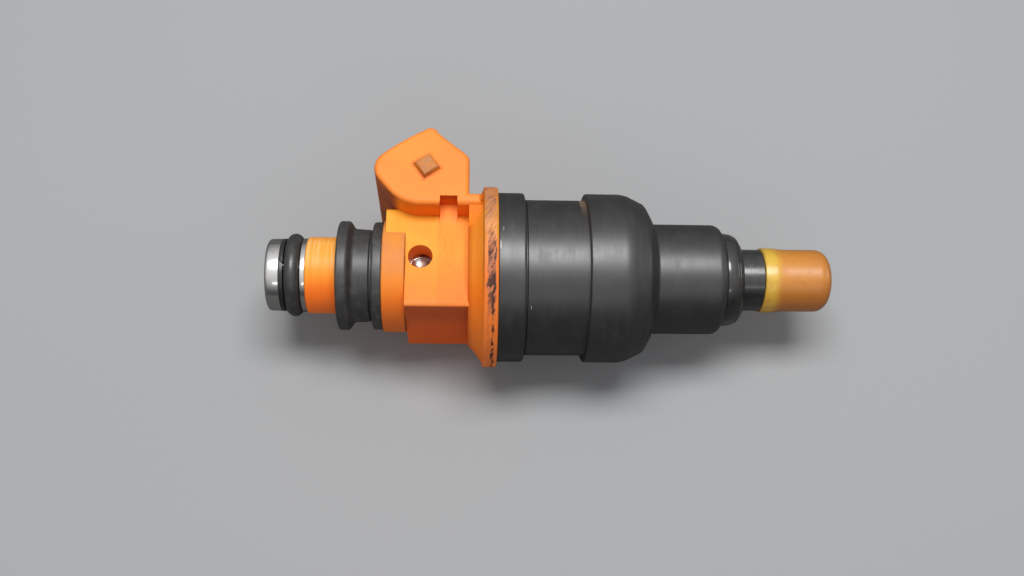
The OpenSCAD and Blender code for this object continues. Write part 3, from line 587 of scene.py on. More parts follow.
@dataclass(frozen=True)
class SocketNylon(OrangeNylon):
    """The socket and its lugs, with a pinkish band of painted shade on the rounded edge, painted shade on the
    lower edge, the notch and the walls, and grime and painted shade round each lug.
    """

    name: str = "socket_nylon"
    lug_flank_grime_and_shade: Colour = (0.36, 0.085, 0.010)
    lug_face: Colour = (0.38, 0.125, 0.050)
    lug_smudge: Colour = (0.30, 0.150, 0.110)
    edge_shade_tone: Colour = (0.90, 0.200, 0.045)
    low_shade_tone: Colour = (0.80, 0.125, 0.006)
    notch_shade_tone: Colour = (0.50, 0.038, 0.001)
    gusset_tone: Colour = (0.86, 0.23, 0.020)
    wall_shade_tone: Colour = (0.62, 0.115, 0.012)
    wall_dull: Colour = (0.20, 0.060, 0.035)
    lug: tuple[float, float] = (0.0, 0.0)
    lug_half: float = 0.0
    lean: float = 0.0
    half_width: float = 0.0
    step_y: float = 0.0
    web_x: float = 0.0
    mouth: tuple[float, float] = (0.0, 0.0)
    notch_x: float = 0.0
    notch_width: float = 0.0
    notch_depth: float = 0.0

    def wear(self, g: Graph, colour: Signal, rough: Signal) -> tuple[Signal, Signal]:
        """Adds the dull band of painted shade along the edge, the grime and painted shade round the lugs, and
        the painted shade on the deep lower edge, the notch and the walls.

        Args:
            g: The graph.
            colour: The clean colour.
            rough: The clean roughness.

        Returns:
            The colour and the roughness with the marks.
        """
        turned = math.radians(self.lean)
        away_x = g.x - self.lug[0]
        away_y = g.y - self.lug[1]
        across = away_x * math.cos(turned) + away_y * math.sin(turned)
        along = away_y * math.cos(turned) - away_x * math.sin(turned)
        square = g.maths("MAXIMUM", abs(across), abs(along))
        fuzz = g.noise((1.3, 1.3, 1.3), 5.0, 4.4, 0.65)
        high = abs(g.z).step(self.half_width - 0.35, self.half_width - 0.1)
        # Painted shade and grime round each lug: a dark ring round the foot, darkest on the flanks towards
        # negative across and along.
        shade = across.step(1.5, -1.0) * 0.35 + along.step(1.0, -1.5) * 0.35 + 0.30
        flank = (square + (fuzz - 0.5) * 0.5).band(self.lug_half - 0.14, 0.14, 0.34) * high
        colour = g.blend(flank * shade * 0.95, colour, self.lug_flank_grime_and_shade)
        face = (square + (fuzz - 0.5) * 0.5).step(self.lug_half - 0.15, self.lug_half - 0.5) * high
        colour = g.blend(face * (0.50 + 0.35 * fuzz), colour, self.lug_face)
        smudge = g.noise((0.9, 0.9, 0.9), 3.0, 21.0, 0.5).step(0.46, 0.58)
        colour = g.blend(face * smudge * 0.30, colour, self.lug_smudge)
        # Painted shade: a deeper, darker band along the rounded edge of each wide face.
        band = abs(g.z).band(self.half_width - 0.42, 0.38, 0.18)
        colour = g.blend(band * (0.45 + 0.4 * fuzz), colour, self.edge_shade_tone)
        # Painted shade: the socket's lower edge by the block is painted a deeper orange.
        low = g.y.step(self.step_y + 0.9, self.step_y + 0.1)
        low = low * abs(g.z).step(self.half_width - 0.15, self.half_width - 0.7)
        low = low * g.x.step(self.web_x + 0.1, self.web_x - 0.1)
        colour = g.blend(low * 0.65, colour, self.low_shade_tone)
        inside = abs(g.z).step(self.half_width - 0.05, self.half_width - 0.2)
        # Painted shade: the notch in the lower edge is painted nearly black-red.
        notch = g.x.band(self.notch_x, 0.5 * self.notch_width + 0.03, 0.04) * inside
        notch_top = self.step_y + self.notch_depth
        notch = notch * g.y.step(notch_top + 0.1, notch_top)
        colour = g.blend(notch * 0.9, colour, self.notch_shade_tone)
        gusset = g.x.step(self.web_x + 0.05, self.web_x + 0.25) * inside
        colour = g.blend(gusset * 0.7, colour, self.gusset_tone)
        # Painted shade: the narrow walls below the wide face deepen, from Z=1 up to just under the face.
        under = g.z.step(self.half_width - 0.6, self.half_width - 1.6) * g.z.step(-3.0, 1.0)
        colour = g.blend(under * 0.45, colour, self.deep)
        # Painted shade: the front wall at the mouth, which faces away from the lamps, is painted dark red.
        wall_across = (g.x - self.mouth[0]) * math.cos(turned) + (g.y - self.mouth[1]) * math.sin(turned)
        wall = wall_across.step(0.95, 0.35) * abs(g.z).step(self.half_width - 0.1, self.half_width - 0.6)
        colour = g.blend(wall * 0.8, colour, self.wall_shade_tone)
        dull = g.noise((0.30, 0.30, 0.22), 3.0, 31.0, 0.5).step(0.40, 0.62) * g.y.step(11.0, 8.5)
        colour = g.blend(wall * dull * 0.55, colour, self.wall_dull)
        return colour, rough + 0.10 * flank


@dataclass(frozen=True)
class SatinBlack:
    """Satin black coating with faint lines round it, a few chips and stains."""

    name: str = "blackened_steel"
    colour: Colour = (0.013, 0.0125, 0.0125)
    worn: Colour = (0.034, 0.032, 0.030)
    rubbed: Colour = (0.050, 0.046, 0.042)
    dusty: Colour = (0.30, 0.27, 0.23)
    stain: Colour = (0.27, 0.175, 0.105)
    rust: Colour = (0.16, 0.075, 0.045)
    bare: Colour = (0.36, 0.33, 0.28)
    rough: float = 0.40
    stain_end: float = 0.0
    chips: tuple[tuple[float, float, float, float], ...] = ()

    def make(self) -> bpy.types.Material:
        """Builds the material.

        Returns:
            The material.
        """
        g = Graph(self.name)
        lines = g.noise((6.0, 0.07, 0.07), 4.0, 2.0, 0.6)
        broad = g.noise((0.9, 0.05, 0.05), 3.0, 6.0)
        rub = g.noise((0.55, 0.30, 0.30), 5.0, 8.0, 0.62)
        colour = g.blend(lines.step(0.40, 0.72) * 0.26, self.colour, self.worn)
        colour = g.blend(rub.step(0.46, 0.72) * 0.24, colour, self.rubbed)
        dust = g.noise((4.5, 4.5, 4.5), 4.0, 14.0, 0.7).step(0.64, 0.76)
        colour = g.blend(dust * 0.07, colour, self.dusty)
        if self.stain_end:
            ragged = g.noise((0.9, 0.6, 0.6), 5.0, 3.3, 0.7)
            upper = g.y.step(4.5, 8.5)
            wide = (g.x + (ragged - 0.5) * 0.7).band(self.stain_end - 0.35, 0.38, 0.22)
            thin = g.x.band(self.stain_end - 0.10, 0.07, 0.08) * ragged.step(0.36, 0.56)
            colour = g.blend(wide * upper * (0.35 + 0.5 * ragged), colour, self.stain)
            colour = g.blend(thin * (0.12 + 0.50 * upper), colour, self.rust)
        bare = self._chipped(g)
        colour = g.blend(bare * 0.7, colour, self.bare)
        rough = self.rough + 0.12 * (lines - 0.5) + 0.12 * (broad - 0.5) + 0.05 * rub.step(0.5, 0.7)
        height = 0.8 * lines + 0.1 * rub - 0.5 * bare
        return g.surface(
            {"Base Color": colour, "Roughness": rough, "Normal": g.bump(height, 0.007, 0.5)},
            {"IOR": 1.5, "Specular IOR Level": 0.80, "Metallic": 0.0},
        )

    def _chipped(self, g: Graph) -> Signal:
        """Marks the chips, each with its place and its size."""
        marks = [g.spot((x, y, z), (0.20 * size, size, size)) for x, y, z, size in self.chips]
        return sum(marks[1:], marks[0]).clamp()


@dataclass(frozen=True)
class BrightSteel:
    """Turned or polished stainless steel with fine lines round the axis."""

    name: str = "polished_steel"
    colour: Colour = (0.66, 0.645, 0.62)
    stain: Colour = (0.33, 0.29, 0.25)
    pit: Colour = (0.16, 0.13, 0.11)
    punched: Colour = (0.62, 0.60, 0.58)
    punch_shade: Colour = (0.22, 0.135, 0.110)
    rough: float = 0.16
    line_depth: float = 0.004
    dent_x: float = 0.0
    dent_r: float = 0.0

    def make(self) -> bpy.types.Material:
        """Builds the material.

        Returns:
            The material.
        """
        g = Graph(self.name)
        lines = g.noise((14.0, 0.25, 0.25), 4.0, 2.2, 0.6)
        blotch = g.noise((0.7, 0.5, 0.5), 5.0, 5.1, 0.65)
        pits = g.noise((9.0, 9.0, 9.0), 4.0, 8.3, 0.7).step(0.63, 0.72)
        colour = g.blend(blotch.step(0.48, 0.74) * 0.45, self.colour, self.stain)
        colour = g.blend(pits * 0.5, colour, self.pit)
        rough = self.rough + 0.10 * (lines - 0.4) + 0.18 * blotch.step(0.5, 0.75) + 0.2 * pits
        if self.dent_r:
            away = (g.x - self.dent_x) ** 2.0 + g.y ** 2.0
            punched = away.step((1.4 * self.dent_r) ** 2, (1.1 * self.dent_r) ** 2) * g.z.step(2.0, 3.0)
            # Painted shade and painted reflection: the dent's +X side is painted a dark pinkish brown, for
            # the shaded hole wall and its orange reflection.
            shaded = g.x.step(self.dent_x - 0.45, self.dent_x + 0.15)
            colour = g.blend(punched * 0.6, colour, self.punched)
            colour = g.blend(punched * shaded, colour, self.punch_shade)
            rough = rough + punched * (0.08 + 0.22 * shaded)
        return g.surface(
            {"Base Color": colour, "Roughness": rough, "Normal": g.bump(lines, self.line_depth, 0.5)},
            {"Metallic": 1.0},
        )


@dataclass(frozen=True)
class Rubber:
    """Black moulded rubber with a fine grain and a little dust."""

    name: str = "black_rubber"
    colour: Colour = (0.030, 0.029, 0.028)
    dusty: Colour = (0.080, 0.074, 0.068)
    lint: Colour = (0.30, 0.28, 0.25)
    rough: float = 0.46

    def make(self) -> bpy.types.Material:
        """Builds the material.

        Returns:
            The material.
        """
        g = Graph(self.name)
        grain = g.noise((11.0, 11.0, 11.0), 4.0, 1.1, 0.6)
        cloud = g.noise((0.8, 0.8, 0.8), 5.0, 4.0, 0.6)
        streak = g.noise((2.5, 0.3, 0.3), 4.0, 6.6, 0.6)
        colour = g.blend(cloud.step(0.45, 0.72) * 0.5, self.colour, self.dusty)
        colour = g.blend(streak.step(0.56, 0.70) * 0.25, colour, self.dusty)
        lint = g.noise((8.0, 5.0, 5.0), 4.0, 17.0, 0.7).step(0.66, 0.74)
        colour = g.blend(lint * 0.3, colour, self.lint)
        rough = self.rough + 0.16 * (cloud - 0.5) + 0.12 * (grain - 0.5)
        height = 0.6 * grain + 0.4 * cloud
        return g.surface(
            {"Base Color": colour, "Roughness": rough, "Normal": g.bump(height, 0.015, 0.5)},
            {"IOR": 1.5, "Specular IOR Level": 0.62, "Metallic": 0.0},
        )


@dataclass(frozen=True)
class GlossBlack:
    """Hard, shiny black plastic or rubber with light scratches."""

    name: str = "gloss_black"
    colour: Colour = (0.011, 0.010, 0.010)
    hazy: Colour = (0.035, 0.032, 0.031)
    speck: Colour = (0.22, 0.20, 0.17)
    rough: float = 0.26
    coat: float = 0.85
    coat_rough: float = 0.20

    def make(self) -> bpy.types.Material:
        """Builds the material.

        Returns:
            The material.
        """
        g = Graph(self.name)
        lines = g.noise((8.0, 0.4, 0.4), 4.0, 3.4, 0.6)
        cloud = g.noise((0.9, 0.7, 0.7), 4.0, 7.0, 0.6)
        colour = g.blend(cloud.step(0.5, 0.72) * 0.4, self.colour, self.hazy)
        specks = g.noise((7.0, 7.0, 7.0), 3.0, 2.0, 0.7).step(0.67, 0.75)
        colour = g.blend(specks * 0.3, colour, self.speck)
        rough = self.rough + 0.12 * cloud.step(0.45, 0.7) + 0.08 * (lines - 0.5) + 0.2 * specks
        return g.surface(
            {"Base Color": colour, "Roughness": rough, "Normal": g.bump(lines, 0.003, 0.3)},
            {"IOR": 1.5, "Coat Weight": self.coat, "Coat Roughness": self.coat_rough, "Metallic": 0.0},
        )


@dataclass(frozen=True)
class AmberNylon:
    """Clear amber nylon that heat and fuel have browned towards its end."""

    name: str = "amber_nylon"
    start: float = 0.0
    end: float = 0.0
    clear: Colour = (0.70, 0.43, 0.028)
    amber: Colour = (0.60, 0.220, 0.012)
    brown: Colour = (0.36, 0.095, 0.006)
    root_tone: Colour = (0.20, 0.09, 0.02)
    soot: Colour = (0.30, 0.19, 0.14)
    fleck: Colour = (0.75, 0.55, 0.38)

    def make(self) -> bpy.types.Material:
        """Builds the material.

        Returns:
            The material.
        """
        g = Graph(self.name)
        length = self.end - self.start
        wander = g.noise((0.30, 0.25, 0.25), 4.0, 3.0, 0.6)
        along = (g.x - self.start) / length + 0.10 * (wander - 0.5)
        stained = along.step(0.10, 0.30)
        colour = g.blend(stained, self.clear, self.amber)
        colour = g.blend(along.step(0.35, 1.0) * 0.30, colour, self.brown)
        cloud = g.noise((0.7, 0.9, 0.9), 5.0, 6.0, 0.65)
        colour = g.blend(cloud.step(0.48, 0.72) * 0.35, colour, self.brown)
        # Painted shade: the cap browns towards -Y.
        colour = g.blend(g.y.step(-0.8, -4.3) * (0.30 + 0.45 * stained), colour, self.brown)
        root = g.x.step(self.start + 0.45, self.start + 0.05) * wander.step(0.38, 0.58)
        colour = g.blend(root * 0.45, colour, self.root_tone)
        soot = along.step(0.93, 1.01) * cloud.step(0.30, 0.60)
        colour = g.blend(soot * 0.7, colour, self.soot)
        fleck = g.noise((4.0, 4.0, 4.0), 4.0, 9.0, 0.7).step(0.66, 0.76) * along.step(0.5, 0.9)
        colour = g.blend(fleck * 0.30, colour, self.fleck)
        scratch = g.noise((6.0, 0.5, 0.5), 4.0, 2.0, 0.6)
        rough = 0.33 + 0.14 * cloud.step(0.45, 0.7) + 0.25 * soot + 0.08 * (scratch - 0.5)
        return g.surface(
            {"Base Color": colour, "Roughness": rough, "Normal": g.bump(scratch, 0.008, 0.4)},
            {"IOR": 1.53, "Specular IOR Level": 0.65, "Coat Weight": 0.55, "Coat Roughness": 0.24,
             "Metallic": 0.0},
        )


@dataclass(frozen=True)
class PlainMetal:
    """Metal for the inner pieces: brass, tinned brass, copper or soft iron."""

    name: str = "brass"
    colour: Colour = (0.62, 0.42, 0.16)
    tarnish: Colour = (0.26, 0.15, 0.06)
    rough: float = 0.32
    line_depth: float = 0.006

    def make(self) -> bpy.types.Material:
        """Builds the material.

        Returns:
            The material.
        """
        g = Graph(self.name)
        cloud = g.noise((1.2, 1.2, 1.2), 5.0, 4.0, 0.6)
        lines = g.noise((8.0, 1.0, 1.0), 3.0, 2.0)
        colour = g.blend(cloud.step(0.46, 0.72) * 0.6, self.colour, self.tarnish)
        rough = self.rough + 0.20 * (cloud - 0.5) + 0.08 * (lines - 0.5)
        return g.surface(
            {"Base Color": colour, "Roughness": rough, "Normal": g.bump(lines, self.line_depth, 0.4)},
            {"Metallic": 1.0},
        )


@dataclass(frozen=True)
class PlainPlastic:
    """Moulded plastic for the inner pieces."""

    name: str = "bobbin_nylon"
    colour: Colour = (0.05, 0.05, 0.052)
    shade: Colour = (0.03, 0.03, 0.03)
    rough: float = 0.5

    def make(self) -> bpy.types.Material:
        """Builds the material.

        Returns:
            The material.
        """
        g = Graph(self.name)
        cloud = g.noise((0.9, 0.9, 0.9), 4.0, 4.0, 0.6)
        grain = g.noise((9.0, 9.0, 9.0), 3.0, 2.0)
        colour = g.blend(cloud.step(0.45, 0.70) * 0.6, self.colour, self.shade)
        rough = self.rough + 0.15 * (cloud - 0.5)
        return g.surface(
            {"Base Color": colour, "Roughness": rough, "Normal": g.bump(grain, 0.01, 0.5)},
            {"IOR": 1.5, "Metallic": 0.0},
        )


# --------------------------------------------------------------------------
# Modelling
# --------------------------------------------------------------------------


@dataclass(frozen=True)
class Corner:
    """A corner of a turned profile, in millimetres: its place, radius and rounding."""

    x: float
    r: float
    rounding: float = 0.0


@dataclass(frozen=True)
class Span:
    """The stretch that a CAD node fills along the axis, in millimetres, and its radius."""

    start: float
    end: float
    radius: float

    @classmethod
    def of(cls, node: str) -> "Span":
        """Reads the span of a CAD node."""
        low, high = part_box(node)
        return cls(low.x / MM, high.x / MM, high.z / MM)


class Axis(Enum):
    """The axis that a rod runs along."""

    X = 0
    Z = 2


class Merge(Enum):
    """What a tool does to a piece."""

    CUT = "DIFFERENCE"
    JOIN = "UNION"


def select_only(piece: bpy.types.Object) -> None:
    """Makes a piece the active one and the only one that is selected.

    Args:
        piece: The piece.
    """
    bpy.ops.object.select_all(action="DESELECT")
    piece.select_set(True)
    bpy.context.view_layer.objects.active = piece


@contextmanager
def editing(piece: bpy.types.Object) -> Iterator[bpy.types.Object]:
    """Opens a piece in edit mode with all of it selected, and closes it again.

    Args:
        piece: The piece.

    Yields:
        The piece.
    """
    select_only(piece)
    bpy.ops.object.mode_set(mode="EDIT")
    bpy.ops.mesh.select_mode(type="VERT")
    bpy.ops.mesh.select_all(action="SELECT")
    try:
        yield piece
    finally:
        bpy.ops.object.mode_set(mode="OBJECT")


def pick_edges(piece: bpy.types.Object, rule: Rule) -> int:
    """Selects the edges whose two ends meet a rule, in edit mode.

    Args:
        piece: The piece that is open in edit mode.
        rule: Is given the two ends of an edge, in metres.

    Returns:
        How many edges are selected.
    """
    bpy.ops.mesh.select_mode(type="EDGE")
    bpy.ops.mesh.select_all(action="DESELECT")
    shape = bmesh.from_edit_mesh(piece.data)
    found = [e for e in shape.edges if rule(e.verts[0].co, e.verts[1].co)]
    for edge in found:
        edge.select = True
    shape.select_flush_mode()
    bmesh.update_edit_mesh(piece.data)
    return len(found)


def pick_faces(piece: bpy.types.Object, rule: Callable[[Vector], bool]) -> None:
    """Selects the faces that meet a rule, in edit mode.

    Args:
        piece: The piece that is open in edit mode.
        rule: Is given a face's centre, in metres.
    """
    bpy.ops.mesh.select_mode(type="FACE")
    bpy.ops.mesh.select_all(action="DESELECT")
    shape = bmesh.from_edit_mesh(piece.data)
    for face in shape.faces:
        if rule(face.calc_center_median()):
            face.select = True
    shape.select_flush_mode()
    bmesh.update_edit_mesh(piece.data)


def edge_at(x: float, y: float) -> Rule:
    """Makes the rule for an edge that runs along Z.

    Args:
        x: Where the edge lies along X, in millimetres.
        y: Where it lies along Y.

    Returns:
        The rule, which is given the two ends of an edge.
    """

    def near(v: Vector) -> bool:
        """Tells whether an end lies there."""
        return abs(v.x - x * MM) < 5 * NEAR and abs(v.y - y * MM) < 5 * NEAR

    return lambda a, b: near(a) and near(b)


def settle(piece: bpy.types.Object) -> None:
    """Applies a piece's place, so that its object sits at the origin."""
    select_only(piece)
    bpy.ops.object.transform_apply(location=True, rotation=True, scale=True)


def newest(name: str) -> bpy.types.Object:
    """Names the piece that was just added, and settles it.

    Args:
        name: The name.

    Returns:
        The piece.
    """
    piece = bpy.context.object
    piece.name = name
    piece.data.name = name
    settle(piece)
    return piece


def apply_modifier(piece: bpy.types.Object, kind: str, **settings: object) -> None:
    """Adds a modifier to a piece and applies it at once.

    Args:
        piece: The piece.
        kind: The modifier's type.
        settings: Its settings.
    """
    select_only(piece)
    modifier = piece.modifiers.new(kind.lower(), kind)
    for key, value in settings.items():
        setattr(modifier, key, value)
    bpy.ops.object.modifier_apply(modifier=modifier.name)


def smooth(piece: bpy.types.Object, degrees: float = 32.0) -> None:
    """Shades a piece smooth, and keeps the edges sharper than an angle crisp.

    Args:
        piece: The piece.
        degrees: The angle.
    """
    select_only(piece)
    bpy.ops.object.shade_smooth_by_angle(angle=math.radians(degrees))
    apply_modifier(piece, "WEIGHTED_NORMAL", keep_sharp=True, weight=60)


def turn(name: str, corners: list[Corner], segments: int = 4) -> bpy.types.Object:
    """Turns a closed ring about the injector's axis.

    A circle is extruded and resized from corner to corner, back to the first one.

    Args:
        name: The name of the piece.
        corners: The closed profile's corners, in order.
        segments: How many facets each rounding has.

    Returns:
        The new piece.
    """
    first = corners[0]
    bpy.ops.mesh.primitive_circle_add(
        vertices=SIDES, radius=first.r * MM, location=(first.x * MM, 0, 0), rotation=(0, math.pi / 2, 0)
    )
    piece = newest(name)
    with editing(piece):
        for here, there in zip(corners, corners[1:] + corners[:1]):
            step = ((there.x - here.x) * MM, 0, 0)
            bpy.ops.mesh.extrude_edges_move(TRANSFORM_OT_translate={"value": step})
            if there.r != here.r:
                scale = there.r / here.r
                bpy.ops.transform.resize(value=(1, scale, scale), center_override=(there.x * MM, 0, 0))
        bpy.ops.mesh.select_all(action="SELECT")
        bpy.ops.mesh.remove_doubles(threshold=NEAR)
        bpy.ops.mesh.normals_make_consistent(inside=False)
        for corner in corners:
            if corner.rounding:
                round_loop(piece, corner, segments)
    smooth(piece)
    return piece


def round_loop(piece: bpy.types.Object, corner: Corner, segments: int) -> None:
    """Rounds the loop of edges at one corner of a turned piece, in edit mode.

    Args:
        piece: The piece that is open in edit mode.
        corner: The corner.
        segments: How many facets the rounding has.
    """

    def on_corner(v: Vector) -> bool:
        """Tells whether the end of an edge lies on the loop."""
        radius = math.hypot(v.y, v.z)
        return abs(v.x - corner.x * MM) < NEAR and abs(radius - corner.r * MM) < NEAR

    bevel_edges(piece, lambda a, b: on_corner(a) and on_corner(b), corner.rounding, segments, clamp=False)


def box(name: str, low: tuple[float, float, float], high: tuple[float, float, float]) -> bpy.types.Object:
    """Adds a box between two corners, in millimetres.

    Args:
        name: The name of the piece.
        low: Its lowest corner.
        high: Its highest corner.

    Returns:
        The new piece.
    """
    middle = [0.5 * (a + b) * MM for a, b in zip(low, high)]
    size = [(b - a) * MM for a, b in zip(low, high)]
    bpy.ops.mesh.primitive_cube_add(size=1.0, location=middle, scale=size)
    return newest(name)


def rod(name: str, low: tuple[float, float, float], length: float, radius: float, axis: Axis,
        sides: int) -> bpy.types.Object:
    """Adds a rod that starts at a place and runs along an axis, in millimetres.

    Args:
        name: The name of the piece.
        low: The middle of its first end.
        length: Its length.
        radius: Its radius.
        axis: The axis that it runs along.
        sides: How many sides it has.

    Returns:
        The new piece.
    """
    place = [v * MM for v in low]
    place[axis.value] += 0.5 * length * MM
    tilt = (0, math.pi / 2, 0) if axis is Axis.X else (0, 0, 0)
    bpy.ops.mesh.primitive_cylinder_add(
        vertices=sides, radius=radius * MM, depth=length * MM, location=place, rotation=tilt
    )
    return newest(name)


def ball(name: str, middle: tuple[float, float, float], radius: float) -> bpy.types.Object:
    """Adds a ball, in millimetres.

    Args:
        name: The name of the piece.
        middle: Its middle.
        radius: Its radius.

    Returns:
        The new piece.
    """
    bpy.ops.mesh.primitive_uv_sphere_add(
        segments=48, ring_count=32, radius=radius * MM, location=[v * MM for v in middle]
    )
    return newest(name)


def combine(piece: bpy.types.Object, tool: bpy.types.Object, merge: Merge) -> None:
    """Cuts a tool out of a piece, or joins it on, and drops the tool.

    Args:
        piece: The piece that stays.
        tool: The piece that is used up.
        merge: What the tool does.
    """
    apply_modifier(piece, "BOOLEAN", object=tool, operation=merge.value, solver="EXACT")
    mesh = tool.data
    bpy.data.objects.remove(tool)
    bpy.data.meshes.remove(mesh)


def slice_off(place: tuple[float, ...], away: tuple[float, ...]) -> None:
    """Cuts the piece that is open in edit mode with a plane, and fills the cut.

    Args:
        place: A point of the plane, X, Y and perhaps Z in millimetres.
        away: The direction of the side that is cleared, X, Y and perhaps Z.
    """
    bpy.ops.mesh.select_all(action="SELECT")
    bpy.ops.mesh.bisect(
        plane_co=Vector(place).to_3d() * MM, plane_no=Vector(away).to_3d().normalized(),
        use_fill=True, clear_outer=True, clear_inner=False,
    )
    bpy.ops.mesh.select_all(action="SELECT")
    bpy.ops.mesh.remove_doubles(threshold=NEAR)


def bevel_edges(piece: bpy.types.Object, rule: Rule, width: float, segments: int,
                clamp: bool = True) -> None:
    """Bevels the edges of a piece that meet a rule, in edit mode.

    Args:
        piece: The piece that is open in edit mode.
        rule: Is given the two ends of an edge, in metres.
        width: How wide the bevel is, in millimetres.
        segments: How many facets it has.
        clamp: Whether it stops before it runs into the next edge.
    """
    if pick_edges(piece, rule):
        bpy.ops.mesh.bevel(
            offset=width * MM, segments=segments, affect="EDGES", clamp_overlap=clamp
        )


def rotate_picked(degrees: float, axis: str, middle: tuple[float, float]) -> None:
    """Turns what is selected in edit mode about an axis through a place.

    Args:
        degrees: How far it turns, in the sense of Blender's own transform tool.
        axis: "X", "Y" or "Z".
        middle: The X and Y of the place, in millimetres.
    """
    bpy.ops.transform.rotate(
        value=math.radians(degrees), orient_axis=axis,
        center_override=(middle[0] * MM, middle[1] * MM, 0),
    )


def finish_piece(piece: bpy.types.Object, material: bpy.types.Material, body: str, slot: str,
                 *nodes: str) -> bpy.types.Object:
    """Gives a piece its material and hands it to its body.

    Args:
        piece: The piece.
        material: Its finish.
        body: The CAD body that it rides on.
        slot: The record's material slot, which is not used.
        nodes: The CAD nodes that it stands for.

    Returns:
        The same piece.
    """
    piece.data.materials.clear()
    piece.data.materials.append(material)
    if nodes:
        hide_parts(*nodes)
    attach(piece, body)
    log.info("%s: %d faces", piece.name, len(piece.data.polygons))
    return piece


# --------------------------------------------------------------------------
# Sub-assemblies
# --------------------------------------------------------------------------


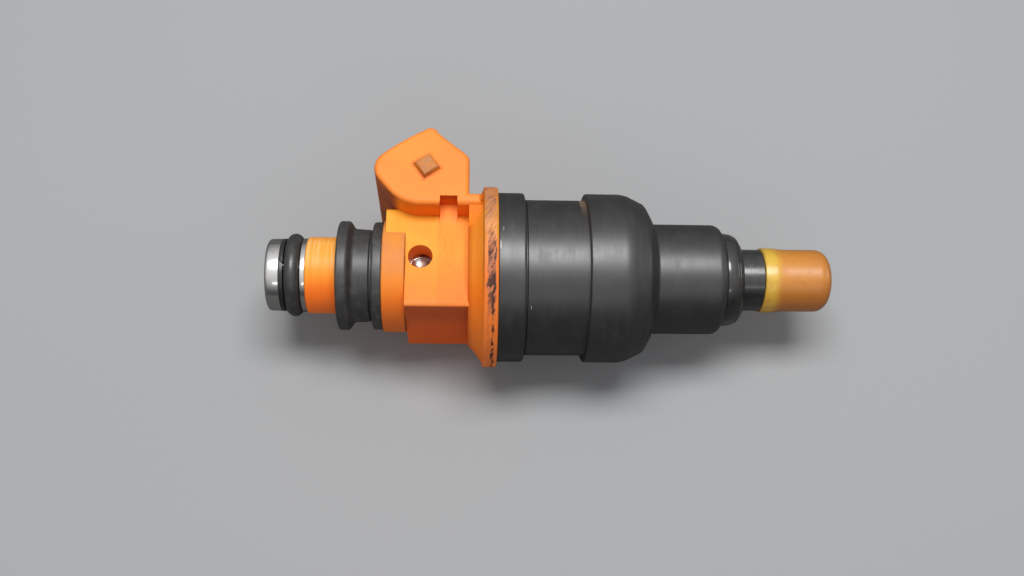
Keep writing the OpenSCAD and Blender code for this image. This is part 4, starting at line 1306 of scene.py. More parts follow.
@dataclass(frozen=True)
class Housing:
    """The orange moulding: sleeve, disc, block, flange, socket, web and latch lugs."""

    tube_r: float = 4.0
    sleeve_r: float = 5.1
    sleeve_edge: float = 0.25
    disc_r: float = 7.5
    disc_len: float = 3.05
    disc_edge: float = 0.2
    block_len: float = 8.15
    block_half: float = 6.85
    block_top: float = 6.7
    block_low: float = -8.1
    block_edge: float = 0.5
    block_end_edge: float = 0.15
    block_tuck: float = 0.6
    shelf_back: float = 0.4
    bell_len: float = 1.95
    bell_r: float = 9.2
    bell_dish: float = 0.15
    bell_edge: float = 0.2
    rim_len: float = 1.9
    rim_step: float = 0.4
    rim_root: float = 0.12
    rim_edge: float = 0.2
    edge: float = 0.3
    stake_from_disc: float = 1.95
    stake_r: float = 1.6
    stake_floor: float = 3.0
    lean: float = 35.0
    back: float = 2.9
    wall: float = 1.25
    hollow: float = 7.5
    front_wall: float = 1.7
    flare: float = 4.0
    depth: float = 7.55
    floor_cut: float = 2.4
    hollow_corner: float = 0.6
    mouth: float = 19.2
    crown: float = 0.5
    crown_round: float = 2.4
    blank_low: float = 3.0
    half_width: float = 10.4
    step_y: float = 5.8
    web_from_case: float = 3.8
    web_top: float = 17.0
    shoulder_y: float = 12.8
    shoulder_round: float = 0.5
    foot_y: float = 7.5
    foot_gap: float = 0.3
    lip_clear: float = 1.5
    corner: float = 2.5
    heel: float = 5.0
    back_corner: float = 0.9
    side_edge: float = 0.6
    notch_from_case: float = 6.45
    notch_width: float = 2.25
    notch_depth: float = 1.15
    notch_sink: float = 0.01
    ramp_y: float = 4.2
    ramp_rise: float = 1.1
    ramp_tuck: float = 0.3
    ramp_sink: float = 0.02
    gusset_y: float = 3.2
    gusset_low: float = 7.0
    gusset_inset: float = 0.15
    gusset_drop: float = 0.6
    gusset_proud: float = 0.1
    gusset_slope: tuple[float, float] = (0.85, 0.55)
    lug_across: float = -1.25
    lug_from_mouth: float = 4.7
    lug_side: float = 2.8
    lug_taper: float = 0.76
    lug_rise: float = 0.6
    lug_sink: float = 0.2
    lug_edge: float = 0.14

    @property
    def case_top(self) -> float:
        """Where the flange ends and the case begins, along X."""
        return Span.of("solenoid_case").start

    @property
    def block_end(self) -> float:
        """Where the block runs into the flange's back."""
        return self.case_top - self.rim_len - self.bell_len

    @property
    def disc_end(self) -> float:
        """Where the disc runs into the block."""
        return self.block_end - self.block_len

    @property
    def shelf_end(self) -> float:
        """The rail-side end of the shelf beside the block."""
        return self.disc_end - self.disc_len + self.shelf_back

    @property
    def stake_x(self) -> float:
        """The middle of the staking hole, along X."""
        return self.disc_end + self.stake_from_disc

    @property
    def web_x(self) -> float:
        """The face of the web that looks towards the flange, along X."""
        return self.case_top - self.web_from_case

    @property
    def notch_x(self) -> float:
        """The middle of the notch in the socket's lower edge, along X."""
        return self.case_top - self.notch_from_case

    @property
    def lug_place(self) -> tuple[float, float]:
        """The middle of the latch lugs, in X and Y."""
        return self.leaning(self.lug_across, self.mouth - self.lug_from_mouth)

    def leaning(self, across: float, along: float) -> tuple[float, float]:
        """Leans a place on the upright socket over.

        Args:
            across: How far it lies from the socket's own line, towards the spray end.
            along: How far up the socket it lies.

        Returns:
            The place in X and Y.
        """
        turned = math.radians(self.lean)
        return (
            self.case_top + across * math.cos(turned) - along * math.sin(turned),
            across * math.sin(turned) + along * math.cos(turned),
        )

    @staticmethod
    def _finished(piece: bpy.types.Object, material: bpy.types.Material) -> bpy.types.Object:
        """Finishes one piece of the moulding, which is one node in the CAD model."""
        return finish_piece(piece, material, INJECTOR, "orange_nylon", "connector_housing")

    def build_sleeve(self, material: bpy.types.Material) -> bpy.types.Object:
        """Turns the sleeve round the steel tube and the disc at its end.

        Args:
            material: The finish.

        Returns:
            The sleeve with its disc.
        """
        sleeve_start = Span.of("rail_grommet").start - SLEEVE_AHEAD
        disc_start = self.disc_end - self.disc_len
        corners = [
            Corner(sleeve_start, self.tube_r),
            Corner(sleeve_start, self.sleeve_r, self.sleeve_edge),
            Corner(disc_start, self.sleeve_r),
            Corner(disc_start, self.disc_r, self.edge),
            Corner(self.disc_end, self.disc_r, self.disc_edge),
            Corner(self.disc_end, self.tube_r),
        ]
        piece = turn("sleeve_and_disc", corners)
        return self._finished(piece, material)

    def build_flange(self, material: bpy.types.Material) -> bpy.types.Object:
        """Turns the flange's dished back and its rim.

        Args:
            material: The finish.

        Returns:
            The flange.
        """
        rim_r = Span.of("connector_housing").radius
        rim = self.case_top - self.rim_len
        back_r = rim_r - self.rim_step
        slant = math.atan2(back_r - self.bell_r, self.bell_len)
        dish = []
        for share in (0.25, 0.5, 0.75):
            drop = 4 * share * (1 - share) * self.bell_dish
            dish.append(Corner(
                self.block_end + share * self.bell_len + drop * math.sin(slant),
                self.bell_r + share * (back_r - self.bell_r) - drop * math.cos(slant),
            ))
        corners = [
            Corner(self.block_end, self.tube_r),
            Corner(self.block_end, self.bell_r, self.bell_edge),
            *dish,
            Corner(rim, back_r, self.rim_root),
            Corner(rim, rim_r, self.rim_edge),
            Corner(self.case_top, rim_r, self.edge),
            Corner(self.case_top, self.tube_r),
        ]
        piece = turn("flange", corners)
        return self._finished(piece, material)

    def build_block(self, material: bpy.types.Material) -> bpy.types.Object:
        """Shapes the block with its shelf, and drills the staking hole.

        Args:
            material: The finish.

        Returns:
            The block.
        """
        piece = box(
            "block",
            (self.disc_end, -self.block_half, self.block_low),
            (self.block_end + self.block_tuck, self.block_half, self.block_top),
        )
        shelf = box(
            "shelf",
            (self.shelf_end, 0.0, self.block_low),
            (self.disc_end + PAST, self.block_half, self.block_top),
        )
        combine(piece, shelf, Merge.JOIN)
        with editing(piece):
            bevel_edges(piece, self._along_x, self.block_edge, segments=4)
            bevel_edges(piece, self._on_end, self.block_end_edge, segments=2)
        bore_start = self.shelf_end - PAST
        bore_len = self.block_end + self.block_tuck + PAST - bore_start
        combine(piece, rod("bore", (bore_start, 0, 0), bore_len, self.tube_r, Axis.X, SIDES), Merge.CUT)
        drill_len = self.block_top + PAST - self.stake_floor
        drill = rod("drill", (self.stake_x, 0, self.stake_floor), drill_len, self.stake_r, Axis.Z, SIDES // 2)
        combine(piece, drill, Merge.CUT)
        combine(piece, self._notch_ramp(), Merge.JOIN)
        smooth(piece)
        return self._finished(piece, material)

    def _notch_ramp(self) -> bpy.types.Object:
        """Models the ramp that slopes the block's top up into the notch of the socket's edge.

        Returns:
            The ramp.
        """
        half = 0.5 * self.notch_width
        back = self.step_y + self.notch_depth
        piece = box(
            "ramp",
            (self.notch_x - half, self.ramp_y, self.block_top - PAST),
            (self.notch_x + half, back + self.ramp_tuck, self.block_top + self.ramp_rise + 2 * PAST),
        )
        foot = (self.notch_x, self.ramp_y, self.block_top - self.ramp_sink)
        with editing(piece):
            slice_off(foot, (0, -self.ramp_rise, back - self.ramp_y))
        return piece

    def _along_x(self, a: Vector, b: Vector) -> bool:
        """Tells the block's long outer edges.

        Args:
            a: One end of an edge.
            b: The other end.

        Returns:
            Whether the edge is one of them.
        """
        same_line = abs(a.y - b.y) < NEAR and abs(a.z - b.z) < NEAR
        outer = abs(abs(a.y) - self.block_half * MM) < NEAR
        return same_line and outer

    def _on_end(self, a: Vector, b: Vector) -> bool:
        """Tells the edges round the rail-side ends of the block and the shelf."""
        ends = (self.disc_end * MM, self.shelf_end * MM)
        return any(abs(a.x - x) < NEAR and abs(b.x - x) < NEAR for x in ends)

    def build_socket(self, material: bpy.types.Material) -> bpy.types.Object:
        """Shapes the leaning socket with its hollow, the web, the foot and the notches.

        Args:
            material: The finish.

        Returns:
            The connector.
        """
        piece = self._socket_blank()
        combine(piece, self._web_blank(), Merge.JOIN)
        foot = box(
            "foot",
            (self.web_x - PAST, self.step_y, -self.half_width),
            (self.foot_end, self.foot_y, self.half_width),
        )
        combine(piece, foot, Merge.JOIN)
        combine(piece, self._gusset(), Merge.JOIN)
        with editing(piece):
            bpy.ops.mesh.remove_doubles(threshold=NEAR)
            bpy.ops.mesh.dissolve_limited(angle_limit=math.radians(0.5))
            bevel_edges(piece, self._on_side, self.side_edge, segments=5, clamp=False)
        combine(piece, self._hollow_tool(), Merge.CUT)
        half = 0.5 * self.notch_width
        for side in (-1, 1):
            root = side * (self.block_top - self.notch_sink)
            low, high = sorted((root, side * (self.half_width + PAST)))
            cutter = box(
                "notch",
                (self.notch_x - half, self.step_y - PAST, low),
                (self.notch_x + half, self.step_y + self.notch_depth, high),
            )
            combine(piece, cutter, Merge.CUT)
        smooth(piece)
        return self._finished(piece, material)

    def _gusset(self) -> bpy.types.Object:
        """Models the gusset that slopes from the foot down on to the back of the flange.

        Returns:
            The gusset.
        """
        top = self.half_width - self.gusset_inset
        piece = box(
            "gusset",
            (self.web_x, self.gusset_y, self.gusset_low),
            (self.foot_end, self.foot_y - self.gusset_drop, top),
        )
        out, down = self.gusset_slope
        with editing(piece):
            slice_off((self.foot_end, self.step_y + self.gusset_proud, top), (0, -down, out))
        return piece

    @property
    def foot_end(self) -> float:
        """Where the foot and the gusset end, just short of the rim."""
        return self.case_top - self.rim_len - self.foot_gap

    def _on_side(self, a: Vector, b: Vector) -> bool:
        """Tells the outline of the two wide faces."""
        level = self.half_width * MM
        return abs(abs(a.z) - level) < NEAR and abs(a.z - b.z) < NEAR

    @property
    def front(self) -> float:
        """The socket's front face at the mouth, across the lean."""
        return self.back - self.wall - self.hollow - self.front_wall

    @property
    def middle(self) -> float:
        """The middle of the hollow, across the lean."""
        return self.back - self.wall - 0.5 * self.hollow

    def _socket_blank(self) -> bpy.types.Object:
        """Models the socket upright, rounds it, leans it over and cuts its foot level.

        Returns:
            The solid socket, without its web.
        """
        front = self.case_top + self.front
        back = self.case_top + self.back
        middle = self.case_top + self.middle
        low = self.blank_low
        top = self.mouth
        piece = box("socket", (front, low, -self.half_width), (back, top, self.half_width))
        slope = math.tan(math.radians(self.flare)) * (top - low)
        with editing(piece):
            pick_edges(piece, edge_at(front, low))
            bpy.ops.transform.translate(value=(slope * MM, 0, 0))
            bpy.ops.mesh.select_all(action="SELECT")
            bpy.ops.mesh.bisect(plane_co=(middle * MM, 0, 0), plane_no=(1, 0, 0))
            pick_edges(piece, edge_at(middle, top))
            bpy.ops.transform.translate(value=(0, self.crown * MM, 0))
            bevel_edges(piece, edge_at(middle, top + self.crown), self.crown_round, segments=6)
            bevel_edges(piece, edge_at(front, top), self.corner, segments=10)
            bevel_edges(piece, edge_at(back, top), self.back_corner, segments=6)
            self._lean_over()
            slice_off((self.case_top, self.step_y), (0, -1))
            half_bend = math.radians(0.5 * (90.0 - self.lean - self.flare))
            heel = self.heel * math.tan(half_bend)
            bevel_edges(piece, edge_at(self._heel_x(), self.step_y), heel, segments=10)
            slice_off((self.web_x, 0), (1, 0))
        return piece

    def _lean_over(self) -> None:
        """Leans all of the piece in edit mode over towards the rail end."""
        bpy.ops.mesh.select_all(action="SELECT")
        rotate_picked(-self.lean, "Z", (self.case_top, 0))

    def _hollow_tool(self) -> bpy.types.Object:
        """Models the plug-shaped tool that hollows the socket out.

        Returns:
            The tool.
        """
        front = self.case_top + self.front + self.front_wall
        back = self.case_top + self.back - self.wall
        floor = self.mouth - self.depth
        side = self.half_width - self.wall
        piece = box("hollow", (front, floor, -side), (back, self.mouth + 3 * PAST, side))
        with editing(piece):
            bevel_edges(piece, edge_at(front, floor), self.floor_cut, segments=1)
            bevel_edges(
                piece, lambda a, b: max(abs(a.x - b.x), abs(a.z - b.z)) < NEAR,
                self.hollow_corner, segments=5,
            )
            self._lean_over()
        return piece

    def _heel_x(self) -> float:
        """Finds where the socket's flared front meets its lower edge.

        Returns:
            The place along X.
        """
        high = self.leaning(self.front, self.mouth)
        flared = math.tan(math.radians(self.flare)) * (self.mouth - self.blank_low)
        low = self.leaning(self.front + flared, self.blank_low)
        share = (high[1] - self.step_y) / (high[1] - low[1])
        return high[0] + share * (low[0] - high[0])

    def _web_blank(self) -> bpy.types.Object:
        """Cuts the web that joins the socket's back wall to the flange.

        Returns:
            The web.
        """
        top = self.leaning(self.back, self.mouth - self.lip_clear)
        root = self.leaning(self.back - 0.5 * self.wall, self.mouth)
        lean = math.radians(self.lean)
        piece = box(
            "web",
            (root[0] - PAST, self.step_y + PAST, -self.half_width),
            (self.web_x, self.web_top, self.half_width),
        )
        slope = (self.web_x - top[0], self.shoulder_y - top[1])
        with editing(piece):
            slice_off(top, (-slope[1], slope[0]))
            slice_off(root, (-math.cos(lean), -math.sin(lean)))
            bevel_edges(piece, edge_at(self.web_x, self.shoulder_y), self.shoulder_round, segments=5)
        return piece

    def build_lugs(self, material: bpy.types.Material) -> None:
        """Raises the latch lug on each side of the socket, as a low block with sloping flanks.

        Args:
            material: The finish.
        """
        x, y = self.lug_place
        half = 0.5 * self.lug_side
        for side, name in ((1, "lug_right"), (-1, "lug_left")):
            root = side * (self.half_width - self.lug_sink)
            face = side * (self.half_width + self.lug_rise)
            low, high = sorted((root, face))
            piece = box(name, (x - half, y - half, low), (x + half, y + half, high))
            with editing(piece):
                rotate_picked(-self.lean, "Z", (x, y))
                pick_faces(piece, lambda c: abs(c.z - face * MM) < NEAR)
                bpy.ops.transform.resize(
                    value=(self.lug_taper, self.lug_taper, 1),
                    center_override=(x * MM, y * MM, face * MM),
                )
                bevel_edges(
                    piece, lambda a, b: max(abs(a.z - face * MM), abs(b.z - face * MM)) < NEAR,
                    self.lug_edge, segments=3,
                )
            smooth(piece)
            self._finished(piece, material)


@dataclass(frozen=True)
class RailEnd:
    """The inlet tube with its O-ring, back-up ring and grommet."""

    tip_r: float = 4.8
    tip_len: float = 1.85
    tip_edge: float = 0.5
    mouth_r: float = 3.1
    mouth_edge: float = 0.12
    mouth_depth: float = 1.6
    filter_r: float = 2.9
    filter_len: float = 9.5
    bore_r: float = 2.2
    gland_r: float = 3.45
    shoulder_r: float = 4.9
    shoulder_len: float = 0.65
    tube_r: float = 4.0
    flange_len: float = 2.0
    flange_r: float = 9.3
    fine_edge: float = 0.1
    ring_edge: float = 0.08
    sleeve_r: float = 5.1
    punch_r: float = 1.9
    dent_depth: float = 0.50
    slit: float = 0.12
    slit_slant: float = 55.0
    cord_facets: int = 28
    flash: float = 0.02
    bead_len: float = 1.38
    bead_round: float = 0.32
    bead_foot: float = 2.0
    bead_foot_rise: float = 0.12
    groove_depth: float = 1.15
    groove_step: float = 0.2
    groove_end: float = 0.42
    trough_start: float = 0.28
    trough_edge: float = 0.05
    lip_len: float = 1.35
    lip_drop: float = 0.1
    lip_round: float = 0.34
    lip_edge: float = 0.15

    def build_tube(self, material: bpy.types.Material, stake_x: float) -> bpy.types.Object:
        """Turns the inlet tube, from its polished tip to the pole in the coil, and punches it.

        Args:
            material: The finish.
            stake_x: Where the punch has dented it, along X.

        Returns:
            The tube.
        """
        span = Span.of("inlet_tube")
        sleeve = Span.of("rail_grommet").start - SLEEVE_AHEAD
        shoulder = sleeve - self.shoulder_len
        gland = span.start + self.tip_len
        case_top = Span.of("solenoid_case").start
        flange_end = case_top + self.flange_len
        filter_start = span.start + self.mouth_depth
        filter_end = filter_start + self.filter_len
        corners = [
            Corner(span.start, self.mouth_r, self.mouth_edge),
            Corner(span.start, self.tip_r, self.tip_edge),
            Corner(gland, self.tip_r, self.fine_edge),
            Corner(gland, self.gland_r),
            Corner(shoulder, self.gland_r),
            Corner(shoulder, self.shoulder_r, self.fine_edge),
            Corner(sleeve, self.shoulder_r, self.ring_edge),
            Corner(sleeve, self.tube_r),
            Corner(case_top, self.tube_r),
            Corner(case_top, self.flange_r),
            Corner(flange_end, self.flange_r),
            Corner(flange_end, self.tube_r),
            Corner(span.end, self.tube_r, self.fine_edge),
            Corner(span.end, self.bore_r),
            Corner(filter_end, self.bore_r),
            Corner(filter_end, self.filter_r),
            Corner(filter_start, self.filter_r),
            Corner(filter_start, self.mouth_r),
        ]
        piece = turn("steel_tube", corners)
        punch = ball("punch", (stake_x, 0, self.tube_r - self.dent_depth + self.punch_r), self.punch_r)
        combine(piece, punch, Merge.CUT)
        smooth(piece)
        return finish_piece(piece, material, INJECTOR, "polished_steel", "inlet_tube")

    def build_o_ring(self, material: bpy.types.Material) -> bpy.types.Object:
        """Turns the O-ring, with the fine flash line round its outside.

        Args:
            material: The finish.

        Returns:
            The O-ring.
        """
        span = Span.of("rail_o_ring")
        middle = 0.5 * (span.start + span.end)
        cord_r = 0.5 * (span.end - span.start)
        centre_r = span.radius - cord_r
        corners = []
        for k in range(self.cord_facets):
            angle = 2 * math.pi * k / self.cord_facets
            reach = cord_r if k == 0 else cord_r - self.flash
            corners.append(Corner(middle + reach * math.sin(angle), centre_r + reach * math.cos(angle)))
        piece = turn("o_ring", corners)
        return finish_piece(piece, material, INJECTOR, "black_rubber", "rail_o_ring")

    def build_backup(self, material: bpy.types.Material) -> bpy.types.Object:
        """Turns the back-up ring and cuts its slanting slit.

        Args:
            material: The finish.

        Returns:
            The back-up ring.
        """
        span = Span.of("backup_ring")
        corners = [
            Corner(span.start, self.gland_r),
            Corner(span.start, span.radius, self.ring_edge),
            Corner(span.end, span.radius, self.ring_edge),
            Corner(span.end, self.gland_r),
        ]
        piece = turn("slit_ring", corners)
        knife = box(
            "knife",
            (span.start - PAST, -0.5 * self.slit, 0.0),
            (span.end + PAST, 0.5 * self.slit, span.radius + PAST),
        )
        with editing(knife):
            rotate_picked(self.slit_slant, "Z", (0.5 * (span.start + span.end), 0))
        combine(piece, knife, Merge.CUT)
        smooth(piece)
        return finish_piece(piece, material, INJECTOR, "black_nylon", "backup_ring")

    def build_grommet(self, material: bpy.types.Material) -> bpy.types.Object:
        """Turns the grommet: a round bead, a groove and a flat lip beside the disc.

        Args:
            material: The finish.

        Returns:
            The grommet.
        """
        span = Span.of("rail_grommet")
        groove_r = span.radius - self.groove_depth
        lip = span.end - self.lip_len
        lip_r = span.radius - self.lip_drop
        corners = [
            Corner(span.start, self.sleeve_r),
            Corner(span.start, span.radius, self.bead_round),
            Corner(span.start + self.bead_len, span.radius, 0.28),
            Corner(span.start + self.bead_foot, groove_r + self.bead_foot_rise, 0.3),
            Corner(lip - self.groove_end, groove_r, self.ring_edge),
            Corner(lip - self.trough_start, groove_r - self.groove_step, self.trough_edge),
            Corner(lip, groove_r - self.groove_step, self.trough_edge),
            Corner(lip, lip_r, self.lip_round),
            Corner(span.end, lip_r, self.lip_edge),
            Corner(span.end, self.sleeve_r),
        ]
        piece = turn("grommet", corners, segments=6)
        return finish_piece(piece, material, INJECTOR, "black_rubber", "rail_grommet")


@dataclass(frozen=True)
class InnerWorks:
    """The pieces inside, which keep their CAD shapes and get their finishes."""

    wire_d: float = 0.55
    turns: int = 9
    close_pitch: float = 1.1
    steps: int = 18
    joint: str = "needle_lift"
    steel: tuple[str, ...] = ("valve_body", "needle", "adjusting_tube")
    iron: tuple[str, ...] = ("armature", "stop_plate")
    rubber: tuple[str, ...] = ("coil_seal_upper", "coil_seal_lower", "valve_body_seal")

    def dress(self) -> None:
        """Gives each inner node its finish."""
        steel = BrightSteel(name="spring_steel", rough=0.24).make()
        iron = PlainMetal("soft_iron", (0.42, 0.41, 0.40), (0.22, 0.20, 0.18), 0.38).make()
        rubber = Rubber(name="seal_rubber").make()
        self.build_spring(steel)
        self._apply(steel, self.steel)
        self._apply(iron, self.iron)
        self._apply(rubber, self.rubber)
        self._apply(PlainMetal().make(), ("filter_ring",))
        cage = PlainPlastic("filter_nylon", (0.72, 0.68, 0.56), (0.50, 0.42, 0.30)).make()
        self._apply(cage, ("filter_cage",))
        gauze = PlainMetal("filter_gauze", (0.60, 0.60, 0.58), (0.30, 0.28, 0.25), 0.5).make()
        self._apply(gauze, ("filter_screen",))
        self._apply(PlainPlastic().make(), ("coil_bobbin",))
        copper = PlainMetal("enamelled_copper", (0.55, 0.20, 0.07), (0.30, 0.09, 0.03), 0.25).make()
        self._apply(copper, ("coil_winding",))
        tinned = PlainMetal("tinned_brass", (0.70, 0.66, 0.56), (0.50, 0.43, 0.31), 0.45, 0.0006).make()
        self._apply(tinned, ("terminal_left", "terminal_right"))

    def build_spring(self, material: bpy.types.Material) -> bpy.types.Object:
        """Winds the return spring, and works out how far it would shorten as the needle lifts, which nothing
        uses.

        Args:
            material: The finish.

        Returns:
            The spring.
        """
        low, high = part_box("return_spring")
        wire_r = 0.5 * self.wire_d
        start = low.x / MM + wire_r
        end = high.x / MM - wire_r
        coil_r = high.y / MM - wire_r
        bpy.ops.mesh.primitive_circle_add(
            vertices=12, radius=wire_r * MM, fill_type="NGON", location=(start * MM, coil_r * MM, 0)
        )
        piece = newest("wound_spring")
        with editing(piece):
            bpy.ops.mesh.select_mode(type="FACE")
            bpy.ops.mesh.select_all(action="SELECT")
            for step in range(self.turns * self.steps):
                self._wind(step, end - start)
            bpy.ops.mesh.select_all(action="SELECT")
            bpy.ops.mesh.normals_make_consistent(inside=False)
        smooth(piece, degrees=50.0)
        finish_piece(piece, material, INJECTOR, "spring_steel", "return_spring")
        motion = next(j for j in frame["record"]["behaviour"]["joints"] if j["name"] == self.joint)
        seat = motion["deforming_nodes"][0]["fixed_end_x_m"]
        keep = 1.0 - motion["range_m"][1] / (high.x - seat)
        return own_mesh(piece)

    def _wind(self, step: int, length: float) -> None:
        """Carries the wire on by one step; the first and the last turn lie close.

        Args:
            step: How many steps were made before.
            length: How far the wire travels in all, in millimetres.
        """
        close = self.close_pitch * self.wire_d
        free = (length - 2 * close) / (self.turns - 2)
        at_end = step < self.steps or step >= (self.turns - 1) * self.steps
        pitch = close if at_end else free
        bpy.ops.mesh.extrude_region()
        rotate_picked(-360.0 / self.steps, "X", (0, 0))
        bpy.ops.transform.translate(value=(pitch / self.steps * MM, 0, 0))

    @staticmethod
    def _apply(material: bpy.types.Material, nodes: tuple[str, ...]) -> None:
        """Puts a finish on CAD nodes.

        Args:
            material: The finish.
            nodes: The nodes.
        """
        for name in nodes:
            mesh = bpy.data.objects[name].data
            mesh.materials.clear()
            mesh.materials.append(material)
            log.info("%s: %s", name, material.name)


@dataclass(frozen=True)
class CanAndCup:
    """The black solenoid case and the cup that is pressed over its lower end."""

    collar_len: float = 3.55
    collar_edge: float = 0.40
    top_edge: float = 0.12
    groove: float = 0.12
    wall: float = 1.15
    barrel_r: float = 10.45
    floor_len: float = 2.2
    nose_r: float = 6.6
    nose_wall: float = 1.2
    nose_edge: float = 0.3
    pole_r: float = 4.0
    crimp_r: float = 4.8
    crimp_len: float = 0.7
    cup_step: float = 4.6
    taper_len: float = 4.3
    taper_r: float = 10.05
    taper_end: float = 1.62
    lip_edge: float = 0.26
    taper_edge: float = 0.85
    cone_r: float = 8.45
    cone_end: float = 0.72
    spigot_start: float = 0.28
    spigot_r: float = 7.4
    spigot_nose: float = 1.3
    pilot_r: float = 3.6

    def build_case(self, material: bpy.types.Material) -> bpy.types.Object:
        """Turns the case: collar, barrel, floor and the nose inside the cup.

        Args:
            material: The finish.

        Returns:
            The case.
        """
        span = Span.of("solenoid_case")
        top = span.start
        neck = top + self.collar_len
        step = -self.cup_step
        floor = step - self.floor_len
        bore = self.barrel_r - self.wall
        nose_bore = self.nose_r - self.nose_wall
        lip = span.end - self.crimp_len
        corners = [
            Corner(top, bore),
            Corner(top, span.radius, self.top_edge),
            Corner(neck, span.radius, self.collar_edge),
            Corner(neck, self.barrel_r - self.groove),
            Corner(neck + self.groove, self.barrel_r - self.groove),
            Corner(neck + 2 * self.groove, self.barrel_r),
            Corner(step, self.barrel_r),
            Corner(step, self.nose_r),
            Corner(span.end, self.nose_r, self.nose_edge),
            Corner(span.end, self.crimp_r),
            Corner(lip, self.crimp_r),
            Corner(lip, nose_bore),
            Corner(step, nose_bore),
            Corner(step, self.pole_r),
            Corner(floor, self.pole_r),
            Corner(floor, bore),
        ]
        piece = turn("case_shell", corners)
        return finish_piece(piece, material, INJECTOR, "blackened_steel", "solenoid_case")

    def build_cup(self, material: bpy.types.Material) -> bpy.types.Object:
        """Turns the cup: lip, side, tapered shoulder and the spigot below it.

        Args:
            material: The finish.

        Returns:
            The cup.
        """
        span = Span.of("cup_sleeve")
        side_end = -self.taper_len
        inner = Span.of("solenoid_case").end
        corners = [
            Corner(span.start, self.barrel_r),
            Corner(span.start, span.radius, self.lip_edge),
            Corner(side_end, span.radius, self.taper_edge),
            Corner(-self.taper_end, self.taper_r, 0.40),
            Corner(-self.cone_end, self.cone_r, 0.30),
            Corner(-self.spigot_start, self.spigot_r, 0.22),
            Corner(span.end, self.spigot_r, self.spigot_nose),
            Corner(span.end, self.pilot_r),
            Corner(inner, self.pilot_r),
            Corner(inner, self.nose_r),
            Corner(-self.cup_step, self.nose_r),
            Corner(-self.cup_step, self.barrel_r),
        ]
        piece = turn("cup_shell", corners, segments=6)
        return finish_piece(piece, material, INJECTOR, "blackened_steel", "cup_sleeve")


@dataclass(frozen=True)
class Nozzle:
    """The nozzle seal, the spacer and the spray cap."""

    edge: float = 0.12
    seal_tilt: float = 1.1
    tilt_shares: tuple[float, ...] = (0.20, 0.44, 0.60, 0.72)
    bore_r: float = 3.6
    cap_lip_len: float = 3.0
    cap_lip_flat: float = 1.65
    cap_lip_rise: float = 0.16
    cap_lip_edge: float = 0.2
    cap_r: float = 4.2
    cap_nose: float = 1.6
    cap_bulge: float = 0.25
    mouth_r: float = 1.5
    mouth_lip: float = 0.35
    mouth_edge: float = 0.1
    mouth_len: float = 1.3
    chamber_taper: float = 0.6
    chamber_r: float = 2.8
    shank_in_cap: float = 4.4

    def build_seal(self, material: bpy.types.Material) -> bpy.types.Object:
        """Turns the seal, whose rounded side falls to a thin lip, and tilts it in steps.

        Args:
            material: The finish.

        Returns:
            The seal.
        """
        span = Span.of("nozzle_seal")
        spacer = Span.of("spacer_sleeve")
        length = span.end - span.start
        corners = [
            Corner(span.start, spacer.radius),
            Corner(span.start, span.radius, self.edge),
            Corner(span.start + 0.36 * length, span.radius - 0.06, 0.45),
            Corner(span.start + 0.60 * length, span.radius - 0.26, 0.20),
            Corner(span.start + 0.64 * length, span.radius - 0.46, 0.04),
            Corner(span.start + 0.68 * length, span.radius - 0.42, 0.08),
            Corner(span.start + 0.76 * length, span.radius - 0.52, 0.25),
            Corner(span.start + 0.93 * length, span.radius - 1.25, 0.35),
            Corner(span.end, spacer.radius + 0.42, self.edge),
            Corner(span.end, spacer.radius),
        ]
        piece = turn("seal_ring", corners)
        with editing(piece):
            for share in self.tilt_shares:
                waist = span.start + share * length
                pick_faces(piece, lambda c: c.x > waist * MM)
                rotate_picked(self.seal_tilt, "Y", (waist, 0))
        return finish_piece(piece, material, INJECTOR, "gloss_rubber", "nozzle_seal")

    def build_spacer(self, material: bpy.types.Material) -> bpy.types.Object:
        """Turns the spacer that holds the seal against the spigot.

        Args:
            material: The finish.

        Returns:
            The spacer.
        """
        span = Span.of("spacer_sleeve")
        corners = [
            Corner(span.start, self.bore_r),
            Corner(span.start, span.radius),
            Corner(span.end, span.radius, self.edge),
            Corner(span.end, self.bore_r),
        ]
        piece = turn("spacer_tube", corners)
        return finish_piece(piece, material, INJECTOR, "gloss_black", "spacer_sleeve")

    def build_cap(self, material: bpy.types.Material) -> bpy.types.Object:
        """Turns the spray cap with its lip, rounded nose and mouth.

        Args:
            material: The finish.

        Returns:
            The cap.
        """
        span = Span.of("pintle_cap")
        lip_r = self.cap_r + self.cap_lip_rise
        shank_end = span.start + self.shank_in_cap
        mouth = span.end - self.mouth_len
        corners = [
            Corner(span.start, self.bore_r),
            Corner(span.start, lip_r, self.cap_lip_edge),
            Corner(span.start + self.cap_lip_flat, lip_r, self.mouth_edge),
            Corner(span.start + self.cap_lip_len, self.cap_r),
            Corner(span.end - self.cap_bulge, self.cap_r, self.cap_nose),
            Corner(span.end, self.mouth_r + self.mouth_lip, self.edge),
            Corner(span.end - self.cap_bulge, self.mouth_r, self.mouth_edge),
            Corner(mouth, self.mouth_r),
            Corner(mouth - self.chamber_taper, self.chamber_r),
            Corner(shank_end, self.chamber_r),
            Corner(shank_end, self.bore_r),
        ]
        piece = turn("spray_cap", corners, segments=8)
        return finish_piece(piece, material, INJECTOR, "amber_nylon", "pintle_cap")


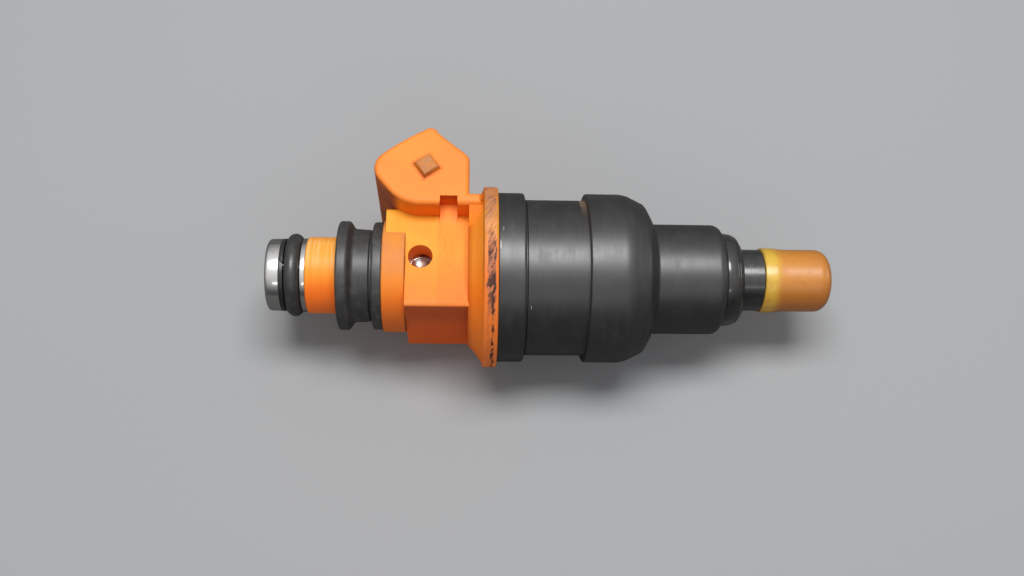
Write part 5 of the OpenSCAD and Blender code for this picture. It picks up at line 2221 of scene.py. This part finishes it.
@dataclass(frozen=True)
class Lamp:
    """A rectangular lamp, with its place and size in metres and its power in watts."""

    name: str
    place: tuple[float, float, float]
    size: tuple[float, float]
    power: float

    def hang(self, aim: tuple[float, float, float]) -> None:
        """Adds the lamp to the scene.

        Args:
            aim: The point that it looks at, in metres.
        """
        data = bpy.data.lights.new(self.name, "AREA")
        data.shape = "RECTANGLE"
        data.size = self.size[0]
        data.size_y = self.size[1]
        data.energy = self.power
        lamp = bpy.data.objects.new(self.name, data)
        bpy.context.scene.collection.objects.link(lamp)
        lamp.location = self.place
        way = Vector(aim) - Vector(self.place)
        lamp.rotation_euler = way.to_track_quat("-Z", "Y").to_euler()


@dataclass(frozen=True)
class Studio:
    """A plain pale floor, soft light and the camera."""

    lamps: tuple[Lamp, ...] = (
        Lamp("key", (-0.02, 0.075, 0.42), (0.30, 0.14), 1.80),
        Lamp("front", (0.02, -0.36, 0.31), (0.30, 0.03), 0.10),
        Lamp("right", (0.42, 0.08, 0.12), (0.16, 0.12), 0.12),
    )
    lamp_aim: tuple[float, float, float] = (-0.014, 0.0, 0.0)
    sky_colour: Colour = (0.97, 0.98, 1.0)
    floor_size: float = 4.0
    floor_colour: Colour = (0.36, 0.365, 0.37)
    mirrored_floor: Colour = (0.02, 0.02, 0.02)
    glossy_floor: float = 0.8
    fill: float = 0.20
    front_fill: float = 0.34
    below: float = -0.08
    overhead: float = 0.85
    horizon: float = 0.16
    camera_place: tuple[float, float, float] = (-25.02, -57.72, 136.67)
    camera_angles: tuple[float, float, float] = (22.339, -2.391, -0.2884)
    lens: float = 38.67
    sensor: float = 36.0
    clip: tuple[float, float] = (0.005, 10.0)

    def build_floor(self) -> None:
        """Lays the floor under the lowest point of the injector."""
        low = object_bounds()[0]
        bpy.ops.mesh.primitive_plane_add(size=self.floor_size, location=(0, 0, low[2]))
        floor = bpy.context.object
        floor.name = "floor"
        settle(floor)
        g = Graph("floor_paint")
        cloud = g.noise((0.02, 0.02, 0.02), 3.0, 2.0)
        colour = g.blend(cloud * 0.2, self.floor_colour, tuple(0.95 * c for c in self.floor_colour))
        # Painted shade in reflections: glossy rays see the floor much darker than the camera does, so shiny
        # surfaces reflect a dark floor.
        path = g.node("ShaderNodeLightPath", {}, {})
        mirrored = Signal(g, path.outputs["Is Glossy Ray"])
        colour = g.blend(mirrored * self.glossy_floor, colour, self.mirrored_floor)
        floor.data.materials.append(g.surface({"Base Color": colour}, {"Roughness": 0.85}))
        floor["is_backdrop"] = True

    def build_lights(self) -> None:
        """Hangs the soft key light over the injector, with small lamps in front and to the right."""
        for lamp in self.lamps:
            lamp.hang(self.lamp_aim)
        self._sky()

    def _sky(self) -> None:
        """Fills the shadows faintly, and shows shiny surfaces a pale room above them."""
        world = bpy.data.worlds.new("studio")
        bpy.context.scene.world = world
        world.use_nodes = True
        tree = world.node_tree
        back = tree.nodes["Background"]
        back.inputs["Color"].default_value = (*self.sky_colour, 1.0)
        path = tree.nodes.new("ShaderNodeLightPath")
        way = tree.nodes.new("ShaderNodeTexCoord")
        parts = tree.nodes.new("ShaderNodeSeparateXYZ")
        tree.links.new(way.outputs["Generated"], parts.inputs[0])
        lit = self._ranged(tree, parts.outputs["Y"], (0.1, -0.9), (self.fill, self.fill + self.front_fill))
        high = self._ranged(tree, parts.outputs["Z"], (0.2, 0.95), (self.horizon, self.overhead))
        low = self._ranged(tree, parts.outputs["Y"], (-0.2, -0.9), (self.fill, self.below))
        shown = tree.nodes.new("ShaderNodeMath")
        tree.links.new(high, shown.inputs[0])
        tree.links.new(low, shown.inputs[1])
        strength = tree.nodes.new("ShaderNodeMix")
        tree.links.new(path.outputs["Is Glossy Ray"], strength.inputs["Factor"])
        tree.links.new(lit, strength.inputs["A"])
        tree.links.new(shown.outputs[0], strength.inputs["B"])
        tree.links.new(strength.outputs[0], back.inputs["Strength"])

    @staticmethod
    def _ranged(
        tree: bpy.types.NodeTree, source: bpy.types.NodeSocket,
        seen: tuple[float, float], given: tuple[float, float],
    ) -> bpy.types.NodeSocket:
        """Maps a value from one range to another, clamped at both ends.

        Args:
            tree: The node tree.
            source: The value.
            seen: The range of the value.
            given: What comes out at the two ends of it.

        Returns:
            The mapped value.
        """
        node = tree.nodes.new("ShaderNodeMapRange")
        node.inputs["From Min"].default_value = seen[0]
        node.inputs["From Max"].default_value = seen[1]
        node.inputs["To Min"].default_value = given[0]
        node.inputs["To Max"].default_value = given[1]
        tree.links.new(source, node.inputs["Value"])
        return node.outputs[0]

    def build_camera(self) -> None:
        """Sets up the camera."""
        data = bpy.data.cameras.new("camera")
        data.lens = self.lens
        data.sensor_width = self.sensor
        data.clip_start, data.clip_end = self.clip
        camera = bpy.data.objects.new("camera", data)
        bpy.context.scene.collection.objects.link(camera)
        camera.location = [v * MM for v in self.camera_place]
        camera.rotation_euler = [math.radians(v) for v in self.camera_angles]
        bpy.context.scene.camera = camera
        bpy.context.scene.view_settings.view_transform = "Standard"


def main() -> None:
    """Builds every sub-assembly in order."""
    logging.basicConfig(level=logging.INFO, format="%(name)s: %(message)s")
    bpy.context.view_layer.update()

    housing = Housing()
    rim_start = housing.case_top - housing.rim_len
    housing.build_sleeve(SleeveNylon(
        disc_start=housing.disc_end - housing.disc_len, disc_end=housing.disc_end,
    ).make())
    housing.build_flange(FlangeNylon(
        back=housing.block_end, rim_start=rim_start, rim_end=housing.case_top,
        rim_r=Span.of("connector_housing").radius,
    ).make())
    housing.build_block(BlockNylon(
        half_width=housing.block_half, top=housing.block_top,
        stake_x=housing.stake_x, stake_r=housing.stake_r,
    ).make())
    socket = SocketNylon(
        lug=housing.lug_place, lug_half=0.5 * housing.lug_side, lean=housing.lean,
        half_width=housing.half_width, step_y=housing.step_y, web_x=housing.web_x,
        mouth=housing.leaning(housing.front, housing.mouth),
        notch_x=housing.notch_x, notch_width=housing.notch_width, notch_depth=housing.notch_depth,
    ).make()
    housing.build_socket(socket)
    housing.build_lugs(socket)

    rail = RailEnd()
    steel = BrightSteel(dent_x=housing.stake_x, dent_r=housing.stake_r).make()
    rail.build_tube(steel, housing.stake_x)
    rail.build_o_ring(Rubber(name="ring_rubber", rough=0.34).make())
    rail.build_backup(PlainPlastic("backup_nylon", (0.014, 0.014, 0.015), (0.030, 0.028, 0.027), 0.34).make())
    rail.build_grommet(Rubber().make())

    InnerWorks().dress()

    can = CanAndCup()
    can.build_case(SatinBlack(stain_end=Span.of("cup_sleeve").start, chips=CASE_CHIPS).make())
    can.build_cup(SatinBlack(name="cup_black", chips=CUP_CHIPS).make())

    nozzle = Nozzle()
    cap = Span.of("pintle_cap")
    nozzle.build_seal(GlossBlack(name="gloss_rubber", rough=0.24, coat=0.90, coat_rough=0.11).make())
    nozzle.build_spacer(GlossBlack().make())
    nozzle.build_cap(AmberNylon(start=cap.start, end=cap.end).make())

    studio = Studio()
    studio.build_floor()
    studio.build_lights()
    studio.build_camera()


if __name__ == "__main__":
    main()
